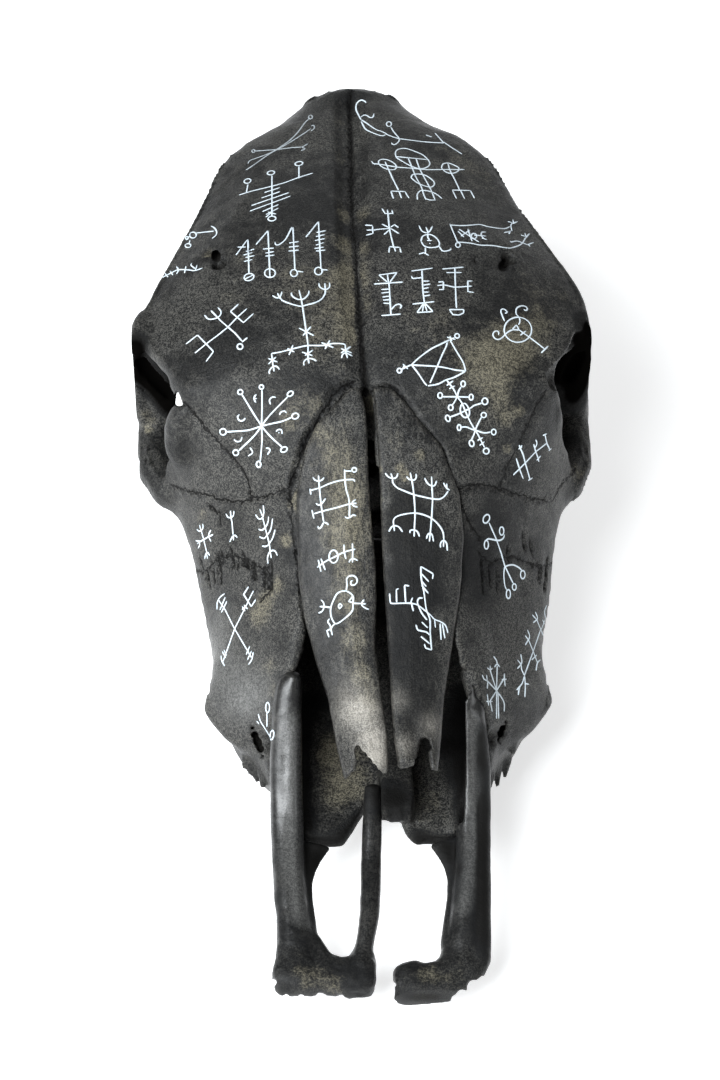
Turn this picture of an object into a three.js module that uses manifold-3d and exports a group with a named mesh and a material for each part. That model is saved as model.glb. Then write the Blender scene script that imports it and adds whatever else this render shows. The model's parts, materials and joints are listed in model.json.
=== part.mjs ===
// Decorated cow skull. The skull of a small polled cow, without its lower jaw and premolars.
// Millimetres, +Z up. X runs across the skull and Y along it, with the muzzle at -Y.
// Z = 0 is the surface that it rests on, with the molars' chewing faces and the two jugular tips.
// Places along the skull are written as "at": the distance back from the muzzle's tip.

import * as THREE from 'three';
import { mergeVertices } from 'three/addons/utils/BufferGeometryUtils.js';
import Module from 'manifold-3d';

const wasm = await Module();
wasm.setup();

// Driving dimensions
const skullLength = 434;
const muzzleOverhang = 6;
const middle = skullLength / 2 - muzzleOverhang;
const seam = 0.35;
const ringPoints = 28;
const ringStep = 10.5;
const nasalThickness = 4.6;
const molarLengths = [23, 25, 26];
const molarWidth = 20;
const molarHeight = 21;
const molarRowStart = 153;
const molarRowHalf = 50.5;

const y = (at) => at - middle;

// No skull grows quite straight: how far its midline strays across, at places along it.
const sway = [[-10, -2.6], [0, -2.4], [45, -0.8], [75, 0.2], [100, 0.6], [140, 1.4], [180, 1.8],
  [212, 0.8], [235, -1], [262, -1.4], [290, 0], [330, -0.9], [380, -1.8], [432, -2.2]];

function swayAt(at) {
  const next = Math.max(1, sway.findIndex(([place]) => place > at));
  const [from, to] = [sway[next - 1], sway[next]];
  const part = THREE.MathUtils.clamp((at - from[0]) / (to[0] - from[0]), 0, 1);
  return THREE.MathUtils.lerp(from[1], to[1], part);
}

// The outside of the head, half a cross-section at a time, from the top round to the palate.
// brow is the edge over the orbit, crest the cheek's widest line and gum the tooth row's outer edge.
const headLines = ['top', 'shoulder', 'brow', 'under', 'flank', 'crest', 'cheek', 'gum', 'inner', 'palate'];
const head = [
  { at: 70, top: [0, 77], shoulder: [22, 73], brow: [34, 62], under: [40, 52], flank: [43, 44],
    crest: [43.5, 38], cheek: [43, 33], gum: [39, 27], inner: [28, 24], palate: [0, 26] },
  { at: 90, top: [0, 88], shoulder: [22, 85], brow: [34, 76], under: [40, 66], flank: [45, 54],
    crest: [46.5, 44], cheek: [45.5, 35], gum: [41, 27], inner: [30, 23], palate: [0, 26] },
  { at: 105, top: [0, 94], shoulder: [24, 91], brow: [33, 83], under: [40, 74], flank: [48.5, 60],
    crest: [53, 46], cheek: [51, 34], gum: [48, 20], inner: [38, 17], palate: [0, 28] },
  { at: 118, top: [0, 100], shoulder: [26, 97], brow: [34, 89], under: [43, 79], flank: [56, 63],
    crest: [69, 46], cheek: [62, 35], gum: [57, 15], inner: [39, 12], palate: [0, 29] },
  { at: 130, top: [0, 106], shoulder: [27, 103], brow: [35, 95], under: [46, 85], flank: [63, 65],
    crest: [77.5, 47.5], cheek: [66.5, 36], gum: [61, 13], inner: [39, 11], palate: [0, 30] },
  { at: 150, top: [0, 116], shoulder: [28, 113], brow: [38, 103], under: [51, 90], flank: [67, 71],
    crest: [73, 55], cheek: [65, 40], gum: [63, 13], inner: [39, 11], palate: [0, 31] },
  { at: 175, top: [0, 130], shoulder: [30, 127], brow: [44, 115], under: [59, 97], flank: [72, 79],
    crest: [78, 64], cheek: [66, 46], gum: [64, 13], inner: [39, 11], palate: [0, 32] },
  { at: 200, top: [0, 144], shoulder: [34, 141], brow: [55, 130], under: [69, 110], flank: [78, 90],
    crest: [81.5, 71], cheek: [67, 52], gum: [64, 14], inner: [39, 11], palate: [0, 33] },
  { at: 215, top: [0, 152.5], shoulder: [39, 151], brow: [68, 141], under: [78, 124], flank: [84, 99],
    crest: [86.5, 77], cheek: [68, 57], gum: [62, 15], inner: [39, 12], palate: [0, 34] },
  { at: 227, top: [0, 158.5], shoulder: [43, 158], brow: [80, 147], under: [84, 138], flank: [88, 110],
    crest: [91, 82], cheek: [66, 62], gum: [57, 19], inner: [41, 15], palate: [0, 35] },
  { at: 240, top: [0, 163], shoulder: [46, 162.5], brow: [86, 147], under: [86, 140], flank: [56, 118],
    crest: [50, 84], cheek: [47, 62], gum: [46, 44], inner: [36, 34], palate: [0, 38] },
  { at: 258, top: [0, 166.5], shoulder: [49, 166], brow: [96.5, 144.5], under: [95, 137.5], flank: [47, 118],
    crest: [45, 88], cheek: [42, 72], gum: [34, 64], inner: [22, 60], palate: [0, 60] },
  { at: 273, top: [0, 168.2], shoulder: [50, 167.4], brow: [100.5, 142], under: [98.5, 135], flank: [48, 118],
    crest: [48, 92], cheek: [44, 76], gum: [34, 68], inner: [20, 64], palate: [0, 64] },
  { at: 290, top: [0, 168.8], shoulder: [50, 167.6], brow: [95.5, 145], under: [92.5, 138], flank: [52, 119],
    crest: [53, 95], cheek: [48, 80], gum: [36, 71], inner: [20, 66], palate: [0, 66] },
  { at: 310, top: [0, 168], shoulder: [47, 166.6], brow: [86.5, 147], under: [83, 139], flank: [56, 121],
    crest: [58, 97], cheek: [53, 82], gum: [38, 73], inner: [18, 67], palate: [0, 67] },
  { at: 332, top: [0, 166], shoulder: [43, 164.6], brow: [76.5, 148.5], under: [74, 140], flank: [59, 123],
    crest: [62, 99], cheek: [58, 84], gum: [42, 74], inner: [17, 67], palate: [0, 67] },
  { at: 352, top: [0, 163.4], shoulder: [38, 162], brow: [69.5, 149], under: [68, 140], flank: [61, 124],
    crest: [66, 101], cheek: [64, 86], gum: [48, 76], inner: [16, 66], palate: [0, 66] },
  { at: 370, top: [0, 160.6], shoulder: [32, 159.4], brow: [63.5, 149], under: [64, 139], flank: [62, 122],
    crest: [70, 100], cheek: [69, 86], gum: [52, 74], inner: [15, 64], palate: [0, 64] },
  { at: 386, top: [0, 158.2], shoulder: [25, 157], brow: [51, 149.5], under: [56.5, 137], flank: [61, 117],
    crest: [71, 98], cheek: [69, 84], gum: [52, 72], inner: [14, 61], palate: [0, 61] },
  { at: 400, top: [0, 155.8], shoulder: [20, 154.4], brow: [34.5, 147], under: [46, 132], flank: [57, 113],
    crest: [66, 96], cheek: [62, 82], gum: [46, 70], inner: [12, 58], palate: [0, 58] },
  { at: 411, top: [0, 153], shoulder: [16, 151.5], brow: [28, 144], under: [38, 129], flank: [48, 111],
    crest: [56, 95], cheek: [50, 81], gum: [36, 69], inner: [11, 59], palate: [0, 58] },
  { at: 418, top: [0, 149], shoulder: [12, 147.5], brow: [20, 140], under: [28, 126], flank: [36, 109],
    crest: [42, 95], cheek: [36, 83], gum: [25, 73], inner: [9, 64], palate: [0, 64] },
];

// The nasal cavity: half widths low, mid and high on its wall, its floor and its roof.
const cavity = [
  { at: 52, low: 28, mid: 34, high: 26, floor: 31, roof: 84 },
  { at: 66, low: 31, mid: 35, high: 28, floor: 32, roof: 92 },
  { at: 90, low: 33, mid: 36, high: 29, floor: 33, roof: 100 },
  { at: 110, low: 36, mid: 37, high: 29, floor: 35, roof: 106 },
  { at: 132, low: 42, mid: 46, high: 31, floor: 37, roof: 104 },
  { at: 155, low: 40, mid: 50, high: 32, floor: 38, roof: 114 },
  { at: 180, low: 36, mid: 46, high: 32, floor: 39, roof: 127 },
  { at: 202, low: 30, mid: 38, high: 26, floor: 41, roof: 136 },
  { at: 222, low: 22, mid: 26, high: 16, floor: 44, roof: 128 },
  { at: 236, low: 12, mid: 14, high: 9, floor: 50, roof: 106 },
];

// The rim of the nose opening, seen from the side: [at, z] from the palate up to its apex.
// The right side's apex lies lower and further forward than the left side's.
const noseRim = [[48, 33], [70, 34], [78, 37], [87, 44], [98, 56], [107, 67], [114, 79]];
const apexLeft = [[123, 88], [133, 96]];
const apexRight = [[119, 86], [125, 92]];

// The nasal bones: at, inner and outer edge across, the crown's height and the outer edge's drop.
const nasalLeft = [
  [219, -4.5, -9, 155, 0.6], [213, -3.4, -15.5, 152, 1.2], [206, -3, -24, 148.5, 2],
  [198, -3, -29, 144.4, 3], [189, -3.3, -32, 139.4, 4], [180, -3.5, -34, 134.2, 5],
  [165, -2.4, -34, 125.8, 6.5], [150, -1.2, -33.4, 117.4, 8], [136, -1.4, -31.2, 109.6, 9],
  [120, -2, -26.6, 101.5, 9], [104, 0, -21.4, 94.4, 8.5], [84, 2.6, -18, 86.8, 8],
  [69, 2.8, -14.6, 82, 7],
];
const nasalRight = [
  [219, 1.4, 9, 155, 0.6], [213, 1.6, 15, 152, 1.2], [205, 1.8, 21, 148, 2],
  [197, 2, 28.5, 143.8, 3], [189, 2.1, 31.5, 139.4, 4], [180, 1.9, 35.4, 134.2, 5],
  [165, 2, 36.6, 125.8, 7], [150, 2.6, 35.4, 117.4, 8.6], [136, 3.2, 33, 109.6, 9.5],
  [120, 4.1, 30, 101.5, 9.5], [104, 5, 27, 94.4, 9], [84, 6, 25, 86.8, 8.5],
  [71, 7.6, 23.6, 82.4, 7.5],
];

// The notch between each nasal bone's two points, in plan.
const notchLeft = [[-13, 60], [-9.6, 78], [-1.6, 60]];
const notchRight = [[23.6, 60], [19.6, 84], [13.4, 68], [12, 60]];

// Turn a closed three.js geometry into a solid that can be joined and cut.
function toSolid(geometry) {
  const bare = geometry.clone();
  bare.deleteAttribute('normal');
  bare.deleteAttribute('uv');
  const merged = mergeVertices(bare, 1e-4);
  const points = merged.attributes.position;
  for (let i = 0; i < points.count; i += 1) {
    points.setX(i, points.getX(i) + swayAt(points.getY(i) + middle));
  }
  return new wasm.Manifold(new wasm.Mesh({
    numProp: 3,
    vertProperties: new Float32Array(points.array),
    triVerts: new Uint32Array(merged.index.array),
  }));
}

// Turn a solid back into a three.js geometry.
function toGeometry(solid) {
  const mesh = solid.getMesh();
  const geometry = new THREE.BufferGeometry();
  geometry.setAttribute('position', new THREE.BufferAttribute(new Float32Array(mesh.vertProperties), 3));
  geometry.setIndex(new THREE.BufferAttribute(new Uint32Array(mesh.triVerts), 1));
  return geometry;
}

const join = (solids) => solids.reduce((all, solid) => all.add(solid));

// A closed skin over a row of rings of points, each end closed by a fan.
function loft(rings) {
  const count = rings[0].length;
  const points = rings.flat();
  const faces = [];
  for (let ring = 0; ring < rings.length - 1; ring += 1) {
    for (let i = 0; i < count; i += 1) {
      const a = ring * count + i;
      const b = ring * count + (i + 1) % count;
      faces.push(a, b, b + count, a, b + count, a + count);
    }
  }
  for (const [ring, flip] of [[0, true], [rings.length - 1, false]]) {
    const centre = new THREE.Vector3();
    rings[ring].forEach((point) => centre.addScaledVector(point, 1 / count));
    const hub = points.push(centre) - 1;
    for (let i = 0; i < count; i += 1) {
      const a = ring * count + i;
      const b = ring * count + (i + 1) % count;
      faces.push(hub, flip ? b : a, flip ? a : b);
    }
  }
  const geometry = new THREE.BufferGeometry().setFromPoints(points);
  geometry.setIndex(faces);
  return enclosedVolume(geometry) < 0 ? turnedInsideOut(geometry) : geometry;
}

function enclosedVolume(geometry) {
  const points = geometry.attributes.position;
  const index = geometry.index.array;
  const [a, b, c] = [new THREE.Vector3(), new THREE.Vector3(), new THREE.Vector3()];
  let volume = 0;
  for (let i = 0; i < index.length; i += 3) {
    a.fromBufferAttribute(points, index[i]);
    b.fromBufferAttribute(points, index[i + 1]);
    c.fromBufferAttribute(points, index[i + 2]);
    volume += a.dot(b.cross(c)) / 6;
  }
  return volume;
}

function turnedInsideOut(geometry) {
  geometry.setIndex(Array.from(geometry.index.array).reverse());
  return geometry;
}

// Rings through a table of stations: smooth along the head and smooth round each ring.
function ringsThrough(stations, halfOutline, count) {
  const outlines = stations.map((station) => halfOutline(station));
  const stringers = outlines[0].map((_, line) => new THREE.CatmullRomCurve3(
    outlines.map((outline, i) => new THREE.Vector3(outline[line][0], y(stations[i].at), outline[line][1])),
    false, 'catmullrom', 0.5));
  const rings = [];
  for (let i = 0; i < stations.length - 1; i += 1) {
    const steps = Math.max(1, Math.round((stations[i + 1].at - stations[i].at) / ringStep));
    for (let step = 0; step < steps; step += 1) {
      rings.push((i + step / steps) / (stations.length - 1));
    }
  }
  rings.push(1);
  return rings.map((along) => {
    const half = stringers.map((stringer) => stringer.getPoint(along));
    const mirrored = half.slice(1, -1).reverse().map((p) => new THREE.Vector3(-p.x, p.y, p.z));
    const curve = new THREE.CatmullRomCurve3([...half, ...mirrored], true, 'centripetal');
    return Array.from({ length: count }, (_, i) => curve.getPoint(i / count));
  });
}

// A bony strut along a curve. Each stop is [x, at, z, half width, half height].
function strut(stops, { side = 1, reference = [0, 0, 1], sides = 8, steps = 2, grow = 0 } = {}) {
  const path = new THREE.CatmullRomCurve3(stops.map(([x, at, z]) => new THREE.Vector3(x * side, y(at), z)));
  const radii = new THREE.CatmullRomCurve3(
    stops.map(([, , , wide, tall]) => new THREE.Vector3(wide, tall, 0)));
  const lift = new THREE.Vector3(...reference);
  const total = (stops.length - 1) * steps;
  const rings = [];
  for (let i = 0; i <= total; i += 1) {
    const centre = path.getPoint(i / total);
    const tangent = path.getTangent(i / total);
    const across = new THREE.Vector3().crossVectors(tangent, lift).normalize();
    const up = new THREE.Vector3().crossVectors(across, tangent).normalize();
    const radius = radii.getPoint(i / total);
    rings.push(Array.from({ length: sides }, (_, k) => {
      const angle = 2 * Math.PI * (k + 0.5) / sides;
      return centre.clone()
        .addScaledVector(across, Math.cos(angle) * (radius.x + grow))
        .addScaledVector(up, Math.sin(angle) * (radius.y + grow));
    }));
  }
  return toSolid(loft(rings));
}

// An oval lump or hollow: centre [x, at, z], radii [x, y, z] and a turn about each axis in degrees.
function oval([x, at, z], radii, turn = [0, 0, 0], detail = 10) {
  const geometry = new THREE.SphereGeometry(1, detail, Math.round(detail * 0.6));
  geometry.scale(...radii);
  geometry.rotateX(THREE.MathUtils.degToRad(turn[0]));
  geometry.rotateY(THREE.MathUtils.degToRad(turn[1]));
  geometry.rotateZ(THREE.MathUtils.degToRad(turn[2]));
  geometry.translate(x, y(at), z);
  return toSolid(geometry);
}

// A flat outline in plan, [x, at] points, given a thickness and placed with its underside at z.
function planPlate(outline, z, thickness) {
  const shape = new THREE.Shape(outline.map(([x, at]) => new THREE.Vector2(x, y(at))));
  const geometry = new THREE.ExtrudeGeometry(shape, { depth: thickness, bevelEnabled: false });
  geometry.translate(0, 0, z);
  return toSolid(geometry);
}

// An outline seen from the side, [at, z] points, given a width and centred on x.
function sidePlate(outline, x, width) {
  const shape = new THREE.Shape(outline.map(([at, z]) => new THREE.Vector2(y(at), z)));
  const geometry = new THREE.ExtrudeGeometry(shape, { depth: width, bevelEnabled: false });
  geometry.rotateX(Math.PI / 2);
  geometry.rotateZ(Math.PI / 2);
  geometry.translate(x - width / 2, 0, 0);
  return toSolid(geometry);
}

const onBothSides = (make) => join([-1, 1].map(make));

// The closed head before it is hollowed.
function headSolid() {
  const rings = ringsThrough(head, (station) => headLines.map((line) => station[line]), ringPoints);
  return toSolid(loft(rings));
}

function cavitySolid() {
  const outline = ({ low, mid, high, floor, roof }) => {
    const rise = roof - floor;
    return [[0, roof], [high * 0.7, roof - rise * 0.03], [high, roof - rise * 0.16],
      [mid, floor + rise * 0.45], [low + 3, floor + rise * 0.12], [low, floor + 1.5], [low * 0.6, floor],
      [0, floor]];
  };
  return toSolid(loft(ringsThrough(cavity, outline, 16)));
}

// Cheek bone under the orbit, arch to the jaw joint, and the bar behind the orbit.
function cheekArch(side) {
  const arch = strut([
    [66, 208, 80, 9, 8], [78, 218, 82, 9, 8.5], [88.5, 227, 83.5, 9, 9], [93, 238, 84.5, 9.5, 8.5],
    [94, 251, 85, 9, 8], [96, 264, 87, 7, 9], [98, 278, 88, 4.8, 9], [95.5, 294, 88, 4.2, 7.5],
    [90, 314, 86, 4, 7], [80, 334, 84, 5, 7], [64, 350, 83, 8, 9],
  ], { side, steps: 1 });
  const bar = strut([
    [92, 263, 86, 7, 10.5], [90.5, 266, 102, 6, 12], [92.5, 269, 119, 5.5, 10.5], [92, 270, 137, 8, 10],
  ], { side, reference: [1, 0, 0] });
  const jawJoint = oval([65 * side, 346, 79], [15, 11, 9], [0, 0, 12 * side]);
  return join([arch, bar, jawJoint]);
}

// The swollen tear bone that floors the orbit.
function orbitFloor(side) {
  return oval([66 * side, 236, 78], [26, 24, 17], [0, 0, -12 * side], 10);
}

// Occipital condyle, jugular process, ear bulla and ear tube.
function skullBase(side) {
  return join([
    oval([20 * side, 414, 62], [13, 14, 19], [-14, 0, -18 * side], 10),
    strut([[56, 388, 88, 14, 9], [52, 390, 64, 12, 6.5], [45, 387, 34, 9, 4.8], [40, 383, -3, 5.5, 4]],
      { side, reference: [1, 0, 0] }),
    oval([34 * side, 352, 60], [9, 15, 15], [0, 0, 10 * side], 8),
    strut([[46, 354, 74, 7, 7], [62, 362, 82, 6.5, 6.5], [76, 367, 88, 5.5, 5.5]], { side }),
    oval([12 * side, 382, 58], [8, 13, 7], [0, 0, 0], 8),
  ]);
}

// The hornless poll swells up and back over the nape, and crests run down from it to each ear.
function nape() {
  const crest = (side) => strut([[10, 411, 142, 7, 9], [30, 407, 131, 7, 7], [50, 399, 115, 7, 8],
    [63, 390, 97, 8, 9]], { side, reference: [0, 1, 0] });
  const ridge = strut([[0, 418, 138, 7, 5], [0, 418, 116, 5, 5], [0, 412, 94, 4, 4]],
    { reference: [1, 0, 0] });
  return join([oval([0, 409, 142], [28, 16.5, 12.5], [18, 0, 0], 12), onBothSides(crest), ridge]);
}

// Thin plate behind the palate that walls the rear opening of the nose.
function pterygoidPlate(side) {
  const outline = [[228, 38], [244, 31], [262, 31], [277, 37], [286, 50], [296, 68], [228, 72]];
  return sidePlate(outline, 24 * side, 5);
}

function orbitHollow(side) {
  return join([
    oval([80 * side, 249, 113], [40, 23, 26], [0, 0, -8 * side], 14),
    oval([104 * side, 250, 111], [30, 26, 26], [0, 0, -8 * side], 12),
  ]);
}

// Ragged sockets of the lost premolars.
function premolarSockets(side) {
  const sockets = [[116, 49, 6.5], [130, 50, 6], [144, 50.5, 6.5]];
  return join(sockets.map(([at, x, length]) => oval([x * side, at, 11], [6.5, length, 12], [0, 0, 0], 7)));
}

const molarCentres = molarLengths.map((length, i) => (
  molarRowStart + molarLengths.slice(0, i).reduce((sum, before) => sum + before, 0) + length / 2));

// A molar's outline has three ribs on its cheek side and two rounded lobes towards the tongue.
function molarSolid(side, number, grow) {
  const half = molarLengths[number] / 2 - 0.4 + grow;
  const out = molarWidth / 2 + grow;
  const outline = [[out - 1, -half], [out, -half + 3], [out - 2.2, -half * 0.5], [out - 0.2, 0],
    [out - 2.2, half * 0.5], [out, half - 3], [out - 1, half], [-out * 0.6, half], [-out, half * 0.5],
    [-out * 0.62, 0], [-out, -half * 0.5], [-out * 0.6, -half]];
  const centre = molarCentres[number];
  const placed = outline.map(([x, along]) => [side * (molarRowHalf + x), centre + along]);
  return planPlate(placed, -grow, molarHeight + 2 * grow);
}

// A nasal bone: a plate arched across, following the bridge of the nose. The cutter that makes
// room for it is grown by the seam, raised through the roof and carried over the midline.
function nasalSolid(rows, asCutter) {
  const bone = [0, 0.12, 0.35, 0.62, 0.85, 1];
  const [overMidline, pastEdge] = [-0.2, 1.05];
  const parts = asCutter ? [overMidline, ...bone, pastEdge] : bone;
  const rings = rows.map(([at, inner, outer, crown, edgeDrop], i) => {
    const side = Math.sign(outer);
    const behind = asCutter && i === 0 ? seam : 0;
    const point = (part, height) => {
      const across = Math.max(part, 0);
      const drop = 0.25 * edgeDrop * (1 - across) ** 4 + edgeDrop * across ** 2.4;
      let x = inner + (outer - inner) * part;
      if (part === overMidline) {
        x = -side;
      }
      if (part === pastEdge) {
        x = outer + side * seam * 1.6;
      }
      return new THREE.Vector3(x, y(at + behind), crown - drop + height);
    };
    const top = parts.map((part) => point(part, asCutter ? 25 : 0));
    const under = parts.map((part) => point(part, -nasalThickness - (asCutter ? seam : 0)));
    return [...top, ...under.reverse()];
  });
  return toSolid(loft(rings));
}

// Each nasal bone ends in two points with a notch between them.
function nasalBone(rows, notch) {
  const cut = planPlate(notch, 60, 60);
  return nasalSolid(rows, false).subtract(cut);
}

// The incisive bone's outer rod, from the muzzle pad up along the rim of the nose opening.
function incisiveRod(side, grow = 0) {
  return strut([
    [34, 3, 21, 8.5, 5.5], [35.5, 14, 23.5, 8.5, 6.2], [37, 30, 27, 7.4, 6.4], [38, 52, 31, 6.5, 6.5],
    [38.2, 68, 35.5, 6.2, 6.2], [38, 84, 44, 5.4, 6.6], [37.6, 100, 59, 4.8, 7], [37, 112, 73, 4.4, 6],
    [36, 119, 83, 3, 3.4],
  ], { side, grow });
}

// The low inner flange of the rod beside the palatine fissure.
function incisiveFlange(side, grow = 0) {
  return strut([[30, 16, 24, 7, 3], [31.8, 34, 26, 4.8, 2.4], [32.4, 50, 27.5, 4.4, 2.2],
    [30.4, 61, 29, 6.2, 2], [28, 68.8, 30, 8.6, 2]], { side, grow });
}

function palatineBar(grow = 0) {
  return strut([[-10, 4, 22, 6.5, 5], [-7, 16, 25, 5, 4.5], [-4.4, 32, 28, 4.6, 3.8],
    [-3.9, 56, 31, 4.7, 3.6], [-3.4, 72, 36.5, 4.5, 3.4], [-3, 90, 42, 3.8, 3.2]], { grow });
}

const leftPad = [[-44, 16], [-44.3, 4], [-41.6, -0.6], [-33, -1.8], [-24.6, -1.2], [-14.6, -3], [-4.8, -3.4],
  [-3, -1], [-3.4, 5], [-1.2, 13], [-6, 19], [-15, 12.8], [-20, 15], [-25, 24], [-42, 22]];
const rightPad = [[42.6, 22], [43.6, 9], [42, 1], [37, -2.5], [32, -4.6], [22, -6.4], [11, -6.2], [7.4, -3.4],
  [7.6, 1.5], [5.6, 7.3], [12.4, 10.8], [15.4, 12.4], [18.4, 8.4], [22, 8.8], [25.4, 13], [28, 24]];

function muzzlePad(outline, grow = 0) {
  return planPlate(outline, 17.5 - grow, 9.5 + 2 * grow);
}

function leftIncisive() {
  return join([muzzlePad(leftPad), incisiveRod(-1), incisiveFlange(-1), palatineBar()]);
}

function rightIncisive() {
  return join([muzzlePad(rightPad), incisiveRod(1), incisiveFlange(1)]);
}

// The palate's front edge on each side of the midline, and the broken end of the vomer.
const palateCutFront = [[0, 40], [-26, 40], [-29, 52], [-25.5, 61.5], [-16.5, 68.5], [-11, 78], [-4, 92],
  [4, 92], [10.5, 78], [15.5, 69], [24.5, 61.5], [28, 52], [26, 40]];

function vomer() {
  const outline = [[0.2, 86], [0.2, 73], [2.4, 71], [5, 75], [8, 72.5], [10.5, 76], [13.5, 74], [15, 84],
    [13, 110], [11, 150], [8, 205], [8, 232], [-3, 232], [-3, 205], [-1, 150], [0.2, 110]];
  return planPlate(outline, 30, 15);
}

function skullSolid() {
  const reachOut = 75;
  const openedSide = (apex, side) => sidePlate(
    [...noseRim, ...apex, [141, 112], [141, 220], [40, 220]], side * reachOut / 2, reachOut);
  const noseCut = openedSide(apexLeft, -1).add(openedSide(apexRight, 1));
  const ethmoid = oval([0, 229, 80], [24, 16, 27]);
  const choana = strut([[0, 216, 56, 16, 14], [0, 240, 52, 18, 12.5], [0, 275, 47, 18.5, 13]]);
  const palateGap = planPlate(palateCutFront, 10, 60);
  const foramenMagnum = oval([0, 424, 72], [16, 40, 15], [8, 0, 0]);
  const smallHoles = onBothSides((side) => join([
    oval([64 * side, 291, 161], [3.6, 4.2, 9], [0, 0, 0], 6),
    oval([50 * side, 101, 56], [5, 9, 4.5], [0, 0, 20 * side], 6),
  ]));
  const hollowed = headSolid()
    .add(onBothSides(orbitFloor))
    .subtract(onBothSides(orbitHollow))
    .add(onBothSides(cheekArch))
    .add(nape())
    .subtract(cavitySolid())
    .add(ethmoid)
    .subtract(noseCut)
    .add(onBothSides(skullBase))
    .add(onBothSides(pterygoidPlate))
    .subtract(choana)
    .subtract(palateGap)
    .add(vomer())
    .subtract(foramenMagnum)
    .subtract(smallHoles)
    .subtract(onBothSides(premolarSockets))
    .subtract(nasalSolid(nasalLeft, true))
    .subtract(nasalSolid(nasalRight, true))
    .subtract(join([incisiveRod(-1, seam), incisiveFlange(-1, seam), palatineBar(seam)]))
    .subtract(join([incisiveRod(1, seam), incisiveFlange(1, seam)]));
  const sockets = onBothSides((side) => join([0, 1, 2].map((number) => molarSolid(side, number, seam))));
  const [reach, depth] = [skullLength, 60];
  const ground = planPlate([[-reach, -reach], [reach, -reach], [reach, 2 * reach], [-reach, 2 * reach]],
    -depth, depth);
  return largestPiece(hollowed.subtract(sockets).subtract(ground));
}

// Cutting can leave crumbs, so only the largest piece is kept.
function largestPiece(solid) {
  return solid.decompose().reduce((best, piece) => (piece.volume() > best.volume() ? piece : best));
}

function named(name, solid, colour, roughness) {
  const material = new THREE.MeshStandardMaterial({ color: colour, roughness, metalness: 0 });
  const mesh = new THREE.Mesh(toGeometry(solid), material);
  mesh.name = name;
  return mesh;
}

const blackenedBone = 0x2b2926;
const wornBone = 0x3d382f;
const enamel = 0x4a4338;

const part = new THREE.Group();
part.add(named('skull', skullSolid(), blackenedBone, 0.55));
part.add(named('nasal_bone_left', nasalBone(nasalLeft, notchLeft), wornBone, 0.5));
part.add(named('nasal_bone_right', nasalBone(nasalRight, notchRight), wornBone, 0.5));
part.add(named('incisive_bone_left', leftIncisive(), blackenedBone, 0.35));
part.add(named('incisive_bone_right', rightIncisive(), blackenedBone, 0.35));
for (const [side, label] of [[-1, 'left'], [1, 'right']]) {
  for (const number of [0, 1, 2]) {
    part.add(named(`molar_${label}_${number + 1}`, molarSolid(side, number, 0), enamel, 0.4));
  }
}

// The origin is the middle of the footprint, on the surface that the skull rests on.
const box = new THREE.Box3().setFromObject(part);
const footprint = box.getCenter(new THREE.Vector3());
part.position.set(-footprint.x, -footprint.y, -box.min.z);

export default part;
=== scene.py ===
# Decorated cow skull: weathered bone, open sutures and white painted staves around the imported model.

import itertools
import json
import math

import bpy
import numpy as np
import openvdb
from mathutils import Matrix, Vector
from mathutils.bvhtree import BVHTree

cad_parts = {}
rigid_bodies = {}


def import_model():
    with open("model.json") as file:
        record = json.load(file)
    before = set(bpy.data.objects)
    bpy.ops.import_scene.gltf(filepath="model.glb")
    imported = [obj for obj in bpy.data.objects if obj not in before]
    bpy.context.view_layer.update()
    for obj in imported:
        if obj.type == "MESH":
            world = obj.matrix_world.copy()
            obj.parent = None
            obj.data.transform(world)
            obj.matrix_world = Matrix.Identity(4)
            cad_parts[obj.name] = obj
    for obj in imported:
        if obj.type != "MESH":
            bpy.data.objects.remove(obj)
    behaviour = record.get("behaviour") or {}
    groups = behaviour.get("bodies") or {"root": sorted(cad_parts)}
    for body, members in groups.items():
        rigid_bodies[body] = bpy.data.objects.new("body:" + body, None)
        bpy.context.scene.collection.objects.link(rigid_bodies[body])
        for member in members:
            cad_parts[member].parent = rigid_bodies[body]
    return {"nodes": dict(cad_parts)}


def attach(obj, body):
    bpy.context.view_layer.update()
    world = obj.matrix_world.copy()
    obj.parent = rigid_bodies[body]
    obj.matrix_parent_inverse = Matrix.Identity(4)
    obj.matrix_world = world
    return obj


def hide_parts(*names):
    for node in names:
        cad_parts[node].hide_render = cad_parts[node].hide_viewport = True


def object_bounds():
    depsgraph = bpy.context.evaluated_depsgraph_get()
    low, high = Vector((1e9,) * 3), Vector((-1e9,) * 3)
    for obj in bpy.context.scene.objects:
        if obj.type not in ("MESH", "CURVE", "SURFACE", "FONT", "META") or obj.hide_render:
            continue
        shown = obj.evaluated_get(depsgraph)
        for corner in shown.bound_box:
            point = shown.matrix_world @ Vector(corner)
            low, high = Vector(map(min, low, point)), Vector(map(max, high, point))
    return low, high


bl_info = {
    "name": "Decorated Cow Skull",
    "version": (1, 0, 0),
    "blender": (4, 5, 0),
    "location": "3D View > Sidebar > Skull",
    "description": "Weathered bone, open sutures and painted staves around the packed skull",
    "category": "Object",
}

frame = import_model()
CAD_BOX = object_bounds()

IMAGE_WIDTH = 720
IMAGE_HEIGHT = 1080
SENSOR = 36.0
MM = 1000.0

# The most triangles that each kind of piece keeps.
CRANIUM_TRIANGLES = 195000
SMALL_BONE_TRIANGLES = 60000
MOLAR_TRIANGLES = 12000
# Grid spacing for the molars, in millimetres.
MOLAR_GRID = 0.7
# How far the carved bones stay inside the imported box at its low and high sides, in millimetres.
LOW_ROOM, HIGH_ROOM = 0.15, 0.3

# Colours that all the bone shares.
EDGE_DUST = (0.085, 0.078, 0.064)
# Darker in hollows.
HOLLOW_DARK = (0.006, 0.005, 0.0035)
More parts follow.
